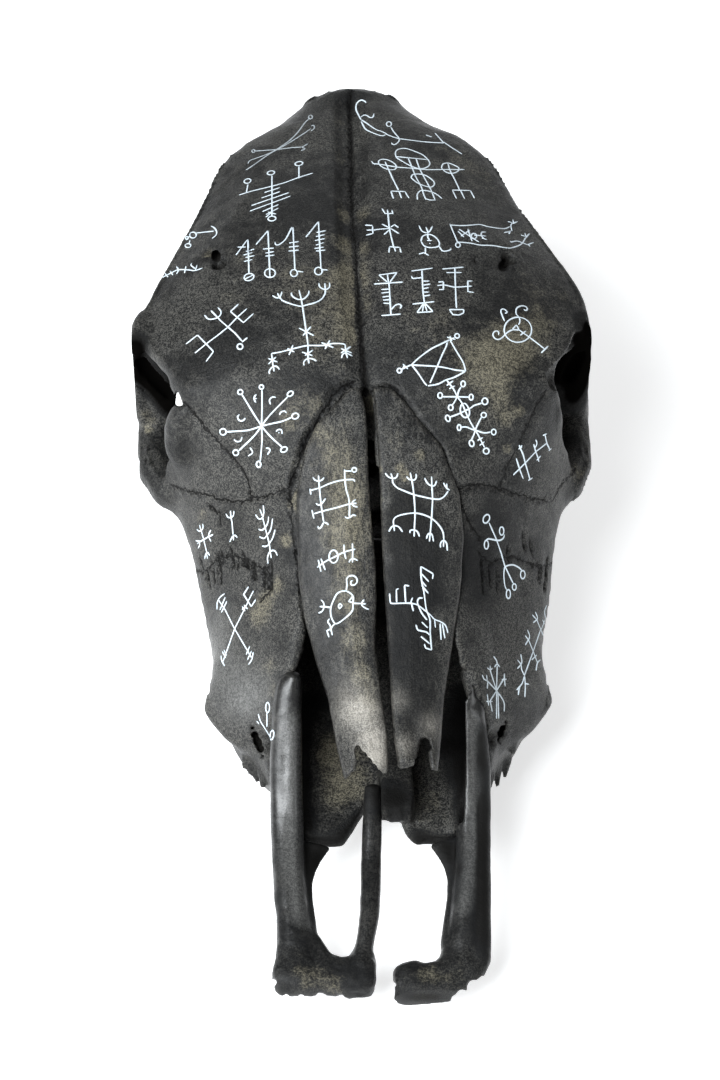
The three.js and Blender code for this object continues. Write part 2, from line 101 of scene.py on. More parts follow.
# Black in the seams and as painted shade, and a matt black laid on as painted shadow.
SEAM_AND_SHADE_BLACK = (0.002, 0.0018, 0.0015)
MATT_SHADE_BLACK = (0.0022, 0.002, 0.0018)
FADED_PAINT = (0.13, 0.14, 0.145)
WHITE = (1.0, 1.0, 1.0, 1.0)

# The studio: size of the floor, its own glow, the strength of the sky, then the soft lights, each with its
# name, place, width and power.
FLOOR_HALF = 3.0
FLOOR_GLOW = 0.55
SKY = 0.2
LIGHT_COLOUR = (0.94, 0.975, 1.0)
LIGHTS = (
    ("key_light", (-1.0, -1.0, 1.5), 1.3, 78),
    ("side_light", (-1.5, -0.9, 0.5), 0.8, 5),
    ("fill_light", (1.4, -0.7, 0.9), 0.7, 5),
    ("rear_light", (0.1, 1.4, 0.9), 0.9, 3),
)


class StageSettings(bpy.types.PropertyGroup):
    elevation: bpy.props.FloatProperty(
        name="Elevation", description="How far above the horizon the camera stands",
        default=math.radians(47.667), subtype="ANGLE")
    azimuth: bpy.props.FloatProperty(
        name="Azimuth", description="How far the camera stands round from the muzzle",
        default=math.radians(-1.703), subtype="ANGLE")
    distance: bpy.props.FloatProperty(
        name="Distance", description="From the camera to the point that it looks at",
        default=1.5, unit="LENGTH")
    aim: bpy.props.FloatVectorProperty(
        name="Aim", description="The point in the middle of the picture",
        default=(-0.00422, -0.02723, 0.09586), subtype="TRANSLATION", unit="LENGTH")
    lens: bpy.props.FloatProperty(
        name="Lens", description="Focal length on a 36 mm sensor",
        default=114.68, unit="CAMERA")
    floor_colour: bpy.props.FloatVectorProperty(
        name="Floor", description="Colour of the floor", default=(0.93, 0.93, 0.93),
        subtype="COLOR", min=0, max=1)


class BoneSettings(bpy.types.PropertyGroup):
    grain_step: bpy.props.FloatProperty(
        name="Skull grid", description="Grid spacing that the skull is carved on, in millimetres",
        default=1.1, min=0.8)
    fine_step: bpy.props.FloatProperty(
        name="Small bone grid", description="Grid spacing for nasal and incisive bones, in millimetres",
        default=0.7, min=0.4)
    pigment: bpy.props.FloatVectorProperty(
        name="Pigment", description="Black rubbed into the bone", default=(0.0036, 0.0038, 0.0042),
        subtype="COLOR", min=0, max=1)
    faded: bpy.props.FloatVectorProperty(
        name="Faded pigment", description="Black where its grain has greyed",
        default=(0.084, 0.0815, 0.0735), subtype="COLOR", min=0, max=1)
    worn: bpy.props.FloatVectorProperty(
        name="Worn bone", description="Where the pigment has worn away", default=(0.172, 0.156, 0.112),
        subtype="COLOR", min=0, max=1)


class PaintSettings(bpy.types.PropertyGroup):
    width: bpy.props.FloatProperty(
        name="Stroke width", description="Width of a painted line", default=0.0009, unit="LENGTH")
    white: bpy.props.FloatVectorProperty(
        name="White", description="Colour of the painted staves", default=(0.62, 0.70, 0.76),
        subtype="COLOR", min=0, max=1)


class View:
    """The camera, as a rule that turns places in the picture into rays."""

    def __init__(self, stage):
        e, a = stage.elevation, stage.azimuth
        self.back = np.array([math.sin(a) * math.cos(e), -math.cos(a) * math.cos(e), math.sin(e)])
        self.right = np.array([math.cos(a), math.sin(a), 0.0])
        self.up = np.cross(self.back, self.right)
        self.place = np.array(stage.aim) + stage.distance * self.back
        self.focal = stage.lens * IMAGE_HEIGHT / SENSOR

    def rays(self, pixels):
        pixels = np.asarray(pixels, float).reshape(-1, 2)
        across = (pixels[:, 0] - IMAGE_WIDTH / 2) / self.focal
        down = (pixels[:, 1] - IMAGE_HEIGHT / 2) / self.focal
        ways = -self.back + across[:, None] * self.right - down[:, None] * self.up
        return ways / np.linalg.norm(ways, axis=1, keepdims=True)

    def level_with(self, place, pixels):
        """Places in the picture, as far from the camera as a place in millimetres."""
        ways = self.rays(pixels)
        eye = self.place * MM
        return eye + ways * (((place - eye) @ self.back) / (ways @ self.back))[:, None]


def pairs(numbers):
    """Numbers in a row, as places in the picture: x from its left side, y from its top."""
    return np.reshape(numbers, (-1, 2)).astype(float)


def even(points, step):
    """The same path with its points about a step apart."""
    points = np.asarray(points, float)
    gaps = np.linalg.norm(np.diff(points, axis=0), axis=1)
    marks = np.concatenate([[0], np.cumsum(gaps)])
    places = np.linspace(0, marks[-1], max(2, int(round(marks[-1] / step)) + 1))
    return np.column_stack([np.interp(places, marks, column) for column in points.T])


def smoothed(points):
    """Many points on a soft curve through a few."""
    points = np.asarray(points, float)
    ends = [2 * points[0] - points[1], *points, 2 * points[-1] - points[-2]]
    t = np.linspace(0, 1, 9)[:-1, None]
    fine = [0.5 * (2 * b + (c - a) * t + (2 * a - 5 * b + 4 * c - d) * t ** 2
                   + (3 * b - a - 3 * c + d) * t ** 3)
            for a, b, c, d in zip(ends, ends[1:], ends[2:], ends[3:])]
    return np.vstack([*fine, points[-1:]])


def line(*numbers):
    """A stroke of the pen, straight from place to place in the picture."""
    return pairs(numbers), False


def bars(*numbers):
    """Straight strokes of the pen, each from one place in the picture to another."""
    return [line(*numbers[i:i + 4]) for i in range(0, len(numbers), 4)]


def bend(*numbers):
    """A stroke of the pen, curved through places in the picture."""
    return smoothed(pairs(numbers)), False


def ring(x, y, wide, tall=None, turn=0):
    """A small closed loop, turned anticlockwise by turn degrees."""
    tall = wide if tall is None else tall
    angle, turn = np.linspace(0, 2 * math.pi, 25), math.radians(-turn)
    across, down = wide * np.cos(angle), tall * np.sin(angle)
    return np.column_stack([x + across * math.cos(turn) - down * math.sin(turn),
                            y + across * math.sin(turn) + down * math.cos(turn)]), True


def row(numbers, radius, amount, step=4.0):
    """Soft blots in a row along a path in the picture."""
    return tuple((x, y, radius, amount) for x, y in even(pairs(numbers), step))


# Every painted figure, stroke by stroke, at the places where it stands in the picture.
SIGNS = {
    "crossed_lines": [
        bend(246, 170, 255, 164, 270, 153.5, 281, 147.5, 292, 141, 303, 134, 311, 128.5),
        bend(311, 131, 314.5, 128, 313.5, 125, 311.5, 126),
        bend(248, 163.5, 250, 160.5, 258, 157.5, 271, 152.5, 281, 146.5, 290, 140, 298, 132, 305, 122.5,
             309, 119),
        ring(310.5, 117, 2), line(255, 151, 277, 149.5, 292, 147.5, 302, 147),
        bend(302, 147, 304, 146, 308, 143.5), bend(302, 147, 305, 149, 301, 150.5), ring(253.5, 151, 1.6)],
    "comb_left": [
        bend(239, 195, 252, 191, 280, 184, 300, 177, 313, 173), line(246.5, 192, 248, 184),
        ring(247.5, 181, 3.5, 2.2, 15), line(272, 175, 272, 216), ring(271, 172.8, 3.8, 2, 10),
        line(299, 178, 299, 166), ring(299, 163.5, 4, 2, 10),
        *bars(264.5, 192.5, 280, 187.5, 261.5, 198, 280, 191.5, 251.5, 205.5, 289, 192.5,
              250, 211, 290.5, 196, 262.5, 211.5, 278.5, 204.5, 266, 214.5, 278.5, 208, 266, 217, 272, 212,
              268, 212, 276, 214),
        ring(272, 218.5, 4, 2.4, 5)],
    "four_staves": [
        *bars(236, 255, 247.5, 239.5, 237.5, 247, 246, 247, 248, 239.5, 249, 273, 246, 251.5, 254.5, 249,
              243.5, 255, 252.5, 252.5, 245.5, 257.5, 254.5, 255.5, 244, 261.5, 252.5, 259.5),
        ring(249, 277, 5, 3.5, 15),
        *bars(245, 279, 253, 275, 256, 244.5, 268, 230.5, 268, 230.5, 270, 277, 263, 249, 274, 248,
              265.5, 253, 274, 251.5, 265.5, 256, 274.5, 255),
        ring(270, 273, 5.4, 4.4), bend(275, 242, 276, 244.8, 280, 244, 286, 238.5, 292, 227),
        *bars(293, 227, 295, 270, 289, 243, 299, 241.5, 289, 247, 299, 246, 288.5, 251, 299, 250),
        ring(294, 273, 3.5),
        *bars(297, 271, 303.5, 272, 306, 237, 318.5, 221.5, 318.5, 221.5, 321, 268,
              316.5, 232.5, 326, 230.5, 316, 236.5, 325, 234.5, 315, 240.5, 325, 238.5,
              316, 245, 324, 242.5, 314.5, 248.5, 324, 247, 316, 251, 325.5, 250),
        ring(318.5, 271, 3.8), line(322, 269.5, 328, 270)],
    "anchor_left": [
        line(196, 233, 214, 231), bend(211, 226, 214, 227.5, 216.5, 231, 216, 235, 212, 238.5),
        ring(193, 235, 3.4, 3), line(190, 236, 186, 240), ring(187, 238, 1.6), line(190, 240, 189, 244),
        ring(188, 245.5, 3, 2)],
    "barbed_line": [
        bend(160, 279, 166, 275.5, 171, 273, 177, 270, 183, 269.5, 190, 270, 195, 270.5, 202.5, 268),
        bend(176.5, 266.5, 178.5, 270, 176.5, 274),
        *bars(186, 266, 184.5, 273, 165, 273, 168, 277, 170, 271, 173, 275),
        line(192, 263, 190.5, 265, 195, 268.5), line(197, 265, 195.5, 270)],
    "candelabra": [
        bend(299, 290, 301.5, 300, 304, 316, 306, 330, 308, 345, 308, 356, 308.5, 363),
        bend(291.5, 292.5, 292, 295.5, 296, 298.5, 301, 299.5, 305, 298, 308.5, 294, 309, 290.5),
        bend(281, 299.5, 283.5, 301, 290, 303.5, 297, 305.5, 302, 306.5),
        bend(302, 306.5, 306, 305, 314, 303, 321, 299.5, 325, 294, 325.5, 288.5),
        bend(272.5, 295.5, 276, 297.5, 279, 298), bend(277.5, 293, 279.5, 297, 281.5, 299.5),
        bend(282, 291.5, 281, 295, 279.5, 298),
        bend(319, 283, 320, 287, 325.5, 289.5, 329.5, 287, 329.5, 282.5),
        *bars(325, 283, 325.5, 290, 299, 328, 314, 335.5, 311, 326.5, 303, 335.5),
        bend(271.5, 353.5, 280, 352, 290, 349.5, 300, 347, 308, 345.5, 320, 345.5, 327, 345, 332, 343.5,
             340, 343.5, 345, 344.5, 345.5, 348, 346.5, 356),
        *bars(293, 345, 289, 355, 287.5, 348.5, 294.5, 352, 330, 340, 325, 349, 321.5, 342.5, 333.5, 347.5),
        bend(271.5, 353.5, 272.5, 360, 273, 366), *bars(268.5, 358.5, 277.5, 362, 276, 357, 268.5, 364),
        bend(269.5, 374, 269.5, 370.5, 273, 366.5, 277, 366.5, 279.5, 369.5),
        *bars(273.5, 366.5, 274, 371.5, 302, 352, 312.5, 355.5, 313, 350, 305, 355.5),
        bend(304, 365.5, 304, 361.5, 308, 358.5, 313, 359, 316.5, 361),
        *bars(308.5, 359, 309, 363.5, 341, 348.5, 352, 353, 351, 346.5, 341, 353),
        bend(341.5, 358, 343, 354, 346.5, 353, 352.5, 356), line(346.5, 353, 347.5, 358)],
    "crossed_combs": [
        line(228, 327, 237.5, 317, 247, 308.5), line(238.5, 304, 230.5, 311.5, 243.5, 322.5, 253.5, 313.5),
        line(228, 327, 221, 321, 211, 310.5),
        bend(204.5, 315, 208.5, 319, 215, 318.5, 220, 315.5, 221, 311.5, 218, 307.5),
        line(228, 327, 218, 335, 206, 344, 195, 353), line(186, 344, 197.5, 335, 213.5, 351.5, 206, 361.5),
        line(228, 327, 235, 333, 242, 341), line(242, 342, 247.5, 337.5), ring(240, 346.5, 2.8)],
    "wheel": [
        bend(261.5, 426, 262, 410, 262, 390), ring(261.5, 387, 2.2), bend(261.5, 426, 252, 411, 242, 394.5),
        ring(240.3, 392, 2.5), bend(261.5, 426, 270, 415, 288, 396.5), ring(290.3, 393.7, 3.3, 2.2, 35),
        bend(261.5, 426, 272, 423.5, 282, 421.3, 291.5, 417.5), ring(295.3, 416, 3.5, 2.8, 20),
        bend(261.5, 426, 270, 436, 282, 447), ring(284, 449.5, 3.5, 2.5, 30),
        bend(261.5, 426, 262, 440, 260.3, 460.8), ring(258.6, 464.3, 2.2, 3.1),
        bend(261.5, 426, 254, 436, 239, 450.5), ring(235.8, 452.7, 2.8),
        bend(261.5, 426, 250, 429.8, 240, 431, 226.5, 431.8), ring(223, 431.8, 3.2),
        bend(256.5, 394.5, 254.5, 396.5, 254.5, 400, 256, 402.5), line(254.5, 398.5, 257, 398.5),
        bend(276, 397.5, 272.5, 397, 269.5, 400, 270.5, 404.5),
        bend(279.5, 415, 281, 412, 284.5, 411, 286.5, 413),
        bend(276, 431.5, 278.5, 429.5, 281.5, 430, 282, 434), line(278.5, 432.5, 279.5, 432.8),
        bend(266, 448, 269, 448.5, 270, 450.5, 267.5, 454.5),
        bend(250, 447.5, 252.5, 451.5, 252, 453.5, 248, 456),
        bend(234, 439.5, 236.5, 441.5, 240.5, 441, 242, 437),
        bend(239.5, 414.5, 237.5, 417, 239.5, 420.5, 243, 420.5, 245.5, 418)],
    "branches_left": [
        line(201.2, 530.3, 203.8, 540, 206.9, 553),
        bend(197, 529.2, 198.5, 531, 201, 530.7, 203, 527.6, 202.7, 523.8), line(199.6, 525, 201, 530.7),
        line(195.8, 540.7, 200.4, 541.5, 208, 537, 213, 534.6), bend(211, 530, 209.2, 533, 208.4, 536.5),
        line(208.4, 536.5, 211, 541.5), bend(199.6, 542, 199.6, 545.3, 198, 548.2),
        line(197.4, 543.8, 199, 542.4), bend(209.6, 555.6, 208, 552.6, 206.5, 553, 205.4, 555.3, 204.8, 559),
        line(206.5, 553, 207.5, 558.7), line(231, 517.3, 232, 522.3, 233, 534.6),
        bend(226, 513.8, 228, 517.3, 231.4, 517.3, 233.4, 515.4, 234, 511), line(230.4, 510.7, 231, 517.3),
        bend(229.8, 541.8, 231.8, 537.6, 233.4, 535.7, 235.3, 535.3, 237.3, 537.6),
        line(233.4, 535.7, 233.4, 540.3),
        bend(262.5, 516.9, 265.2, 527.6, 267.1, 535.3, 269.4, 544.5, 270.1, 551.4, 271.3, 557.9),
        bend(255.6, 514.6, 258.7, 518.8, 262.1, 518, 263.7, 513, 263.3, 505.4),
        line(259.8, 509.2, 262.5, 516.1),
        bend(258.7, 529.2, 261.7, 530, 265.2, 527.6, 267.9, 522.3, 268.6, 516.5),
        bend(259.4, 536.8, 264, 538.4, 267.1, 535, 270.6, 529.6, 272.7, 518.4),
        bend(262.1, 546, 265.6, 546.4, 268.6, 544.5, 272.8, 537.6, 275.1, 529.5),
        bend(268.1, 563.7, 267.5, 558.3, 269, 553, 271.7, 550.6, 275.1, 551, 277.4, 555.6)],
    "cheek_cross": [
        line(224.7, 608.9, 234.6, 628.8, 251.5, 657.4), line(248.7, 600.7, 234.6, 628.8, 223, 661.5),
        bend(224.6, 593.7, 220, 597.2, 217.3, 602.4, 217, 609.5),
        *bars(225.2, 597.2, 219.9, 610, 226.8, 601.3, 221.4, 612.4, 218.2, 599.5, 225.2, 610),
        line(248.6, 586.7, 243.6, 594.3, 251.2, 606.5, 255.8, 599.5),
        *bars(253.5, 590.8, 248, 601.3, 242.2, 606.5, 245, 611.2, 244, 604.8, 247.5, 608.9,
              242, 609.5, 246, 605.5),
        bend(221, 655.6, 221.7, 660.3, 224.6, 665.9),
        *bars(222.3, 651.5, 225.8, 657.9, 224, 649.8, 226.4, 655.6),
        bend(253.2, 652, 252, 659, 248.6, 664.4),
        *bars(249.7, 646.3, 246.2, 654.5, 251.5, 651, 247.5, 659.7),
        line(258.2, 714, 260.2, 721, 270.1, 736.7), ring(271.9, 735, 1.8, 4.8, -10),
        line(266.9, 726.8, 266.9, 712.8), ring(267.6, 707.5, 1.9, 5.2), line(256.7, 721, 259, 724)],
    "nasal_grid": [
        bend(311, 490.2, 319.8, 487.8, 329.6, 483.5, 340.7, 480.4, 353, 479.5, 354.6, 481.6),
        line(310, 488.6, 311, 494.6), bend(314.2, 513.7, 322.2, 511.2, 337, 507.5, 349.4, 504, 356.8, 503.2),
        line(312, 510, 314, 518.6), bend(356, 499.5, 352.8, 501.5, 352.5, 504, 354, 506, 357.7, 507),
        bend(318.5, 475.4, 319.5, 488.4, 321, 503.2, 322.2, 511.9, 323.7, 521.7),
        bend(313, 477.3, 314.8, 479.8, 318.5, 481, 322.2, 479.8, 324, 477.3),
        bend(316, 503.2, 318.5, 505, 321.6, 503.8, 323.5, 501.4, 325.6, 498.3),
        bend(323.7, 522.3, 321, 527.3, 318.5, 528.5, 318.1, 526), bend(324, 522.3, 326.5, 523, 328.6, 524.8),
        bend(344.7, 469.3, 345, 479.8, 346.3, 489.6, 348.8, 498.3, 349.6, 507, 349.4, 516.8),
        line(344.7, 471, 352, 471), ring(354.3, 469.8, 2.3),
        bend(345, 516.8, 347.5, 518, 350.6, 516.8, 353, 515, 356.2, 515.8),
        bend(317.3, 567.4, 324.7, 561.9, 335.8, 556.3, 344.4, 552, 355.6, 549), ring(333.6, 556.5, 4.4, 6.4),
        *bars(318.3, 559.8, 321, 571.7, 321, 558.5, 325.3, 570.2), bend(344, 544.6, 344.2, 551.4, 346, 559),
        line(352.5, 543.3, 352.8, 551.4, 352.5, 562.5),
        bend(349, 562.5, 350.6, 559.4, 354.3, 558.8, 357.8, 560.6)],
    "nasal_body": [
        bend(346.3, 590.9, 340.7, 591.5, 336.4, 594.6, 333.3, 600.7, 331, 606.9, 330.6, 613, 331.9, 618.6,
             335.2, 623.6, 339.5, 622.3, 344.4, 618.6, 350, 613.7, 352.8, 609.4, 353, 603.2, 353.3, 597,
             350.6, 593.3, 346.3, 590.9),
        line(340, 603.2, 342.2, 605.9, 339.5, 608.8, 338.3, 606.3, 340, 603.2),
        bend(346.3, 590.2, 347, 584.7, 346.7, 579, 349.4, 576, 353.7, 575.8, 356.8, 578.5, 357, 582.2,
             354.3, 585, 351.2, 584.7, 350.9, 581.6, 353, 580.4),
        line(353, 603.2, 360.5, 603.5, 366, 603.8), line(364.2, 599.5, 361.5, 603),
        bend(361.5, 604, 362.3, 605.7, 365.4, 608, 369, 609.4), line(353, 595.8, 348.8, 601.4, 353, 602.6),
        line(331, 607.5, 325.3, 606.7, 319.8, 606.5),
        bend(321, 599.8, 323.5, 602.6, 324, 607, 322.2, 611.2, 318.5, 613),
        line(335.2, 623.6, 332.4, 626, 330.9, 629),
        bend(329.6, 618.6, 327.8, 621.7, 330.2, 625.4, 330.9, 629, 332.4, 635.3),
        *bars(330.5, 629, 326.5, 631, 327, 631, 329, 637.2)],
    "scroll_lines": [
        bend(366, 102.5, 364.5, 101, 362, 100, 359, 101, 356.5, 104, 356, 109, 358, 114, 361, 119.5),
        bend(361, 117, 364, 115, 367, 115.5, 370, 117.5, 373, 117, 374, 113.5),
        bend(361, 119.5, 368, 124, 376, 129.5, 382, 131.5, 387, 134),
        bend(361, 121, 365, 128.5, 370, 131.5, 376, 134, 382, 135.8, 386, 134.5),
        bend(386, 134, 392, 136.5, 399, 138.5, 410, 140, 425, 141.8, 444, 143), ring(389, 124, 2.5),
        bend(391, 127, 394, 132, 399, 138, 399, 141, 396, 144, 393, 144.5, 391.5, 142.5),
        *bars(435, 133, 444, 143, 426, 135, 432, 137), bend(444, 142, 451, 147, 462, 154)],
    "bar_of_signs": [
        bend(371.5, 161, 374, 164, 378, 163.5),
        bend(374, 163.5, 385, 165, 397, 167, 410, 168, 425, 169.5, 442, 169.5, 464.5, 169.5),
        ring(387.5, 164.5, 9.5, 4.5, -20), bend(385, 161.5, 388, 168, 393, 179, 398.5, 190),
        *bars(391, 191, 405, 191.5, 391, 191, 393.5, 198.5, 399, 191, 401.5, 198, 405, 191.5, 409, 198),
        bend(396, 157, 395.5, 152, 399, 149, 406, 148.5, 414, 151, 423, 155, 429, 161, 429.5, 165, 425, 168,
             419, 168.5, 411, 166, 401, 160.5, 396, 157),
        line(396, 156.5, 427, 159.5), bend(408, 157.5, 412, 167, 416, 177, 421, 186, 424, 195, 426, 199.5),
        bend(416, 158, 419, 167, 423, 175, 428, 184, 432, 192, 435, 199.5),
        bend(411, 177.5, 413, 174.5, 419, 174, 426, 175.5, 433, 180.5, 434.5, 184, 431.5, 187, 425, 186,
             417, 182.5, 411, 177.5),
        bend(417.5, 199.5, 417.5, 194, 421, 190.5, 426, 190.5, 432, 192, 437, 194.5, 442, 198.5),
        line(425, 198.5, 430, 200, 436, 200),
        bend(441.5, 168, 443, 164, 448, 163, 454, 165, 459, 168, 457.5, 171.5, 452, 173.3, 446, 172,
             441.5, 168),
        bend(448, 163.5, 450, 170, 454, 178, 457.5, 185, 459.5, 190),
        *bars(452.5, 190, 470.5, 190.5, 452.5, 190, 456.5, 198.5, 460.5, 190, 464.5, 198.5,
              470.5, 190.5, 474.5, 198)],
    "trident_stem": [
        bend(388, 213, 389.5, 228, 392, 240, 394, 248),
        *bars(384.5, 213.5, 393, 213.5, 382, 208.5, 385, 213, 387.5, 209.5, 388, 213, 392, 210, 393, 214),
        bend(390, 228.5, 381, 229, 373.5, 230),
        *bars(372.5, 225.5, 373, 233.5, 365, 225, 372.5, 225.5, 366.5, 230, 373.5, 230,
              366, 235, 373, 233.5, 391, 228.5, 382, 224, 391, 228.5, 384, 234.5, 391, 228.5, 399, 233.5),
        line(391, 227, 394.5, 224.5, 398.5, 227.5),
        *bars(389.5, 246.5, 400, 247.5, 389.5, 247, 389, 252.5, 394.5, 247, 395.5, 251.5,
              400, 247.5, 401, 252.5),
        bend(421, 241, 422.5, 236.5, 427, 234.5, 432, 235, 437, 238.5, 439.5, 243, 438, 246.5, 431, 247.5,
             424.5, 246, 421, 241),
        bend(428, 233, 428, 237, 429.5, 240), *bars(427, 240.5, 432, 240.5, 429.5, 243.2, 430.5, 243.8),
        bend(419, 225.5, 422, 231, 427, 233), line(426, 227, 428, 232), bend(432.5, 226, 430, 231, 427, 233),
        line(425.5, 247, 425.5, 253), line(419, 254, 424, 252.5, 429, 255.5),
        bend(439, 246, 443, 251, 450, 250, 451, 248)],
    "long_frame": [
        line(450, 224, 458, 243),
        bend(450, 225, 462, 225.5, 472, 225, 480, 224.5, 488, 226.5, 497, 228, 505, 228.5, 510, 226.5),
        bend(512, 231, 511, 225, 514, 222),
        *bars(508, 221.5, 512, 222.5, 513, 219.5, 513.5, 223, 517.5, 221.5, 513, 223.5,
              504.5, 232.5, 510, 231.5, 509, 234, 510.5, 230.5),
        bend(458, 242, 470, 243, 480, 245, 493, 245.5, 508, 248, 516, 246.5, 522, 243.5, 526, 237),
        *bars(521, 235, 525.5, 236.5, 525, 233, 526, 237, 529.5, 233.5, 526, 237.5),
        bend(510, 241, 511, 242, 517, 241, 523, 243, 528, 245),
        *bars(533.5, 242.5, 528, 244.5, 530, 246.5, 528, 244), ring(458, 245, 2.4),
        *bars(459, 229, 479, 242, 458, 231, 464, 237, 461, 236, 470, 230, 468, 229, 472, 241),
        ring(474, 236, 2.8), line(482, 231.5, 481, 235, 484, 239),
        *bars(482, 232, 486, 232, 474, 235, 486, 236, 482, 238, 487, 239.5)],
    "three_staves": [
        line(379, 275, 397, 272.5, 390, 282),
        *bars(379, 275, 387.5, 282, 387.5, 274, 388.5, 282, 378, 280.3, 379, 280.7, 374, 284, 403, 282),
        bend(389, 282, 390, 298, 391, 315),
        *bars(381.5, 289.5, 389, 289, 381.5, 293, 390, 292, 382.5, 297, 390, 296, 383, 300, 390, 299.5,
              383.5, 303, 390.5, 303.5),
        bend(391.5, 309.5, 395, 305.5, 399, 304, 401.5, 306, 400, 308.5),
        *bars(381.5, 315.5, 401, 314, 411.5, 271, 433, 268), line(411.5, 276, 412.5, 278.5, 422.5, 277.5),
        bend(422, 270, 423, 290, 424.5, 303),
        *bars(423, 281, 429.5, 281, 423.5, 285, 430.5, 284, 423.5, 288.5, 429, 287.5, 424, 292, 429, 292,
              424, 296, 430.5, 295, 412.5, 304, 434.5, 301.5),
        line(424, 303, 417, 312.5, 433, 311.5, 425, 303),
        *bars(424, 303, 422.5, 311.5, 424.5, 303, 427, 311, 442.5, 269, 464, 267, 446.5, 272.5, 462, 272.5),
        bend(455, 267.5, 455.5, 286, 456.5, 308), bend(437.5, 285.5, 445, 285, 455, 287, 472, 286),
        line(438.5, 282, 443.5, 281.5, 443.5, 289.5, 439, 289.5),
        line(472.5, 281, 468, 281, 468, 291.5, 474, 292.5),
        line(449.5, 309.5, 464, 309.5, 463.5, 313, 459, 315, 453, 314.5, 449.5, 309.5)],
    "curled_ring": [
        ring(518, 329.7, 13.8, 12.6),
        bend(504.5, 321, 502.5, 316, 501, 312, 501.5, 309.3, 504, 309, 506, 310.5, 507.5, 312.5, 505, 313.2),
        bend(519.5, 317.5, 516.5, 314.3, 516, 311, 517, 308, 520.5, 306, 523.8, 305.8, 526.5, 307,
             527.5, 309, 526, 310.5, 523.8, 309.5),
        bend(519.5, 317.5, 520, 321.5, 518.6, 324.5),
        line(516.5, 324.7, 512.5, 329.5, 519.3, 330, 516.5, 324.7),
        bend(513.3, 329.7, 510, 330.8, 505.6, 334, 502.4, 337.4, 499, 339.4, 495.2, 338.5, 493, 335.2,
             494, 332, 496.8, 330.8, 499, 332.4, 498.4, 334.7),
        line(518.8, 329.7, 529.8, 337.4, 536.4, 342.4, 544.7, 349),
        *bars(541.4, 352.8, 548.3, 346, 526, 330.8, 520.5, 335.2)],
    "kite": [
        bend(450, 339.6, 441, 344, 431, 349, 420, 357, 411.5, 364.6),
        bend(450, 340, 457, 352, 463, 362, 465.8, 371),
        bend(465.8, 371, 455, 377, 446, 380, 438, 384, 428, 385.8),
        bend(411.5, 364.6, 418, 373, 424, 382, 427, 385.5),
        bend(411.5, 365, 425, 365.6, 438, 366.5, 447, 368, 456, 370, 465.8, 371),
        bend(447.5, 342, 446, 347, 443, 353, 440, 360, 437, 367, 434, 374, 430, 383),
        line(450, 339.6, 455, 337.5), ring(457.2, 335.8, 2.3),
        *bars(447, 337, 455.5, 339.5, 450, 336, 452, 341, 411.5, 364.6, 402, 369), ring(399.5, 370.5, 2.3),
        *bars(403, 364, 408, 369, 402.5, 369, 405, 365)],
    "star_chain": [
        bend(446.7, 380, 450, 384.2, 454.2, 390, 457.3, 396.7),
        *bars(446.7, 385.4, 453.3, 380.8, 449.2, 388.8, 455, 385.8),
        bend(457.3, 396.7, 458.8, 390.8, 461.3, 386.7), ring(463.2, 383.8, 2.2, 2.9),
        line(442.5, 396.7, 457.3, 396.7, 469.2, 397.1), ring(471.2, 397.1, 2, 3),
        ring(440.2, 395.4, 2.3, 2.9), bend(457.3, 396.7, 454.2, 402.5, 452, 405.4),
        ring(450.8, 407.5, 2.3, 2.8),
        bend(457.3, 396.7, 461.7, 402.5, 465, 410, 468.3, 417.5, 471.7, 424.2, 475.4, 430),
        bend(463.8, 403.3, 461.7, 404.2, 460.4, 408.3, 460.8, 412.5, 462.9, 416.3, 465.8, 417.5,
             468.8, 415.8, 469.6, 411.7, 468.3, 407.5, 465.8, 403.8, 463.8, 403.3),
        ring(447.9, 418.3, 2.2, 3.3, 20),
        bend(450, 417, 455.8, 415, 460.8, 412.9, 465.8, 410.4, 470.8, 407.9, 474.2, 405.4, 478.3, 404.2,
             482, 402.9),
        ring(485, 401.3, 2.9, 3.3), bend(475.4, 430, 477.5, 425, 480, 420, 481.7, 417),
        ring(483.8, 415, 2.6), bend(475.4, 430, 480, 431.7, 485, 432.9, 490.8, 432),
        ring(493.8, 432, 2.3, 2.9), bend(475.4, 430, 470.8, 428.8, 466.7, 427, 461.3, 427),
        ring(459.2, 427.5, 1.8, 3.1), bend(475.4, 430, 474.2, 434, 471.7, 439.5),
        ring(471.7, 443.3, 2.3, 3.3, 15), bend(475.4, 430, 478.3, 435, 481.7, 441.7, 484.6, 447.5),
        ring(486.3, 451, 2.9), *bars(477.5, 440.4, 483, 437.5, 479.6, 445.4, 484.6, 441.7)],
    "crossed_bars": [
        line(513.3, 475, 519.6, 468.8, 525, 463.3, 535.8, 451.7, 546.7, 443.3),
        bend(545, 434.6, 547, 443.3, 550, 449.6),
        *bars(543, 435.4, 546.7, 433.8, 548.8, 450.4, 551.3, 448.8),
        bend(516.3, 458.3, 519.6, 468.8, 523.3, 478.8),
        bend(520.4, 448.3, 523.3, 455, 525.4, 463.3, 527.9, 471.7, 530, 479.6),
        line(519.2, 445, 520.4, 448.3, 522, 445.3), *bars(518.5, 449, 522, 447.6, 528.3, 480.4, 532.5, 478),
        line(533.8, 444.2, 535.8, 451.7, 538.3, 458.3, 538.8, 461.7),
        bend(535.8, 439.6, 537, 443.3, 535.4, 447.5), line(536.7, 460.4, 540.8, 455.8)],
    "nasal_arcs": [
        bend(410.3, 472.5, 412.8, 485.5, 414.2, 497.7, 415.1, 512.8, 414.6, 525, 414.2, 536.6),
        bend(406.7, 476.6, 409.4, 479.3, 414.2, 480, 416.3, 477.3, 416, 473.8),
        bend(410, 533, 410.3, 530.5, 414.2, 529.8, 417.6, 531.9, 419.6, 536.6),
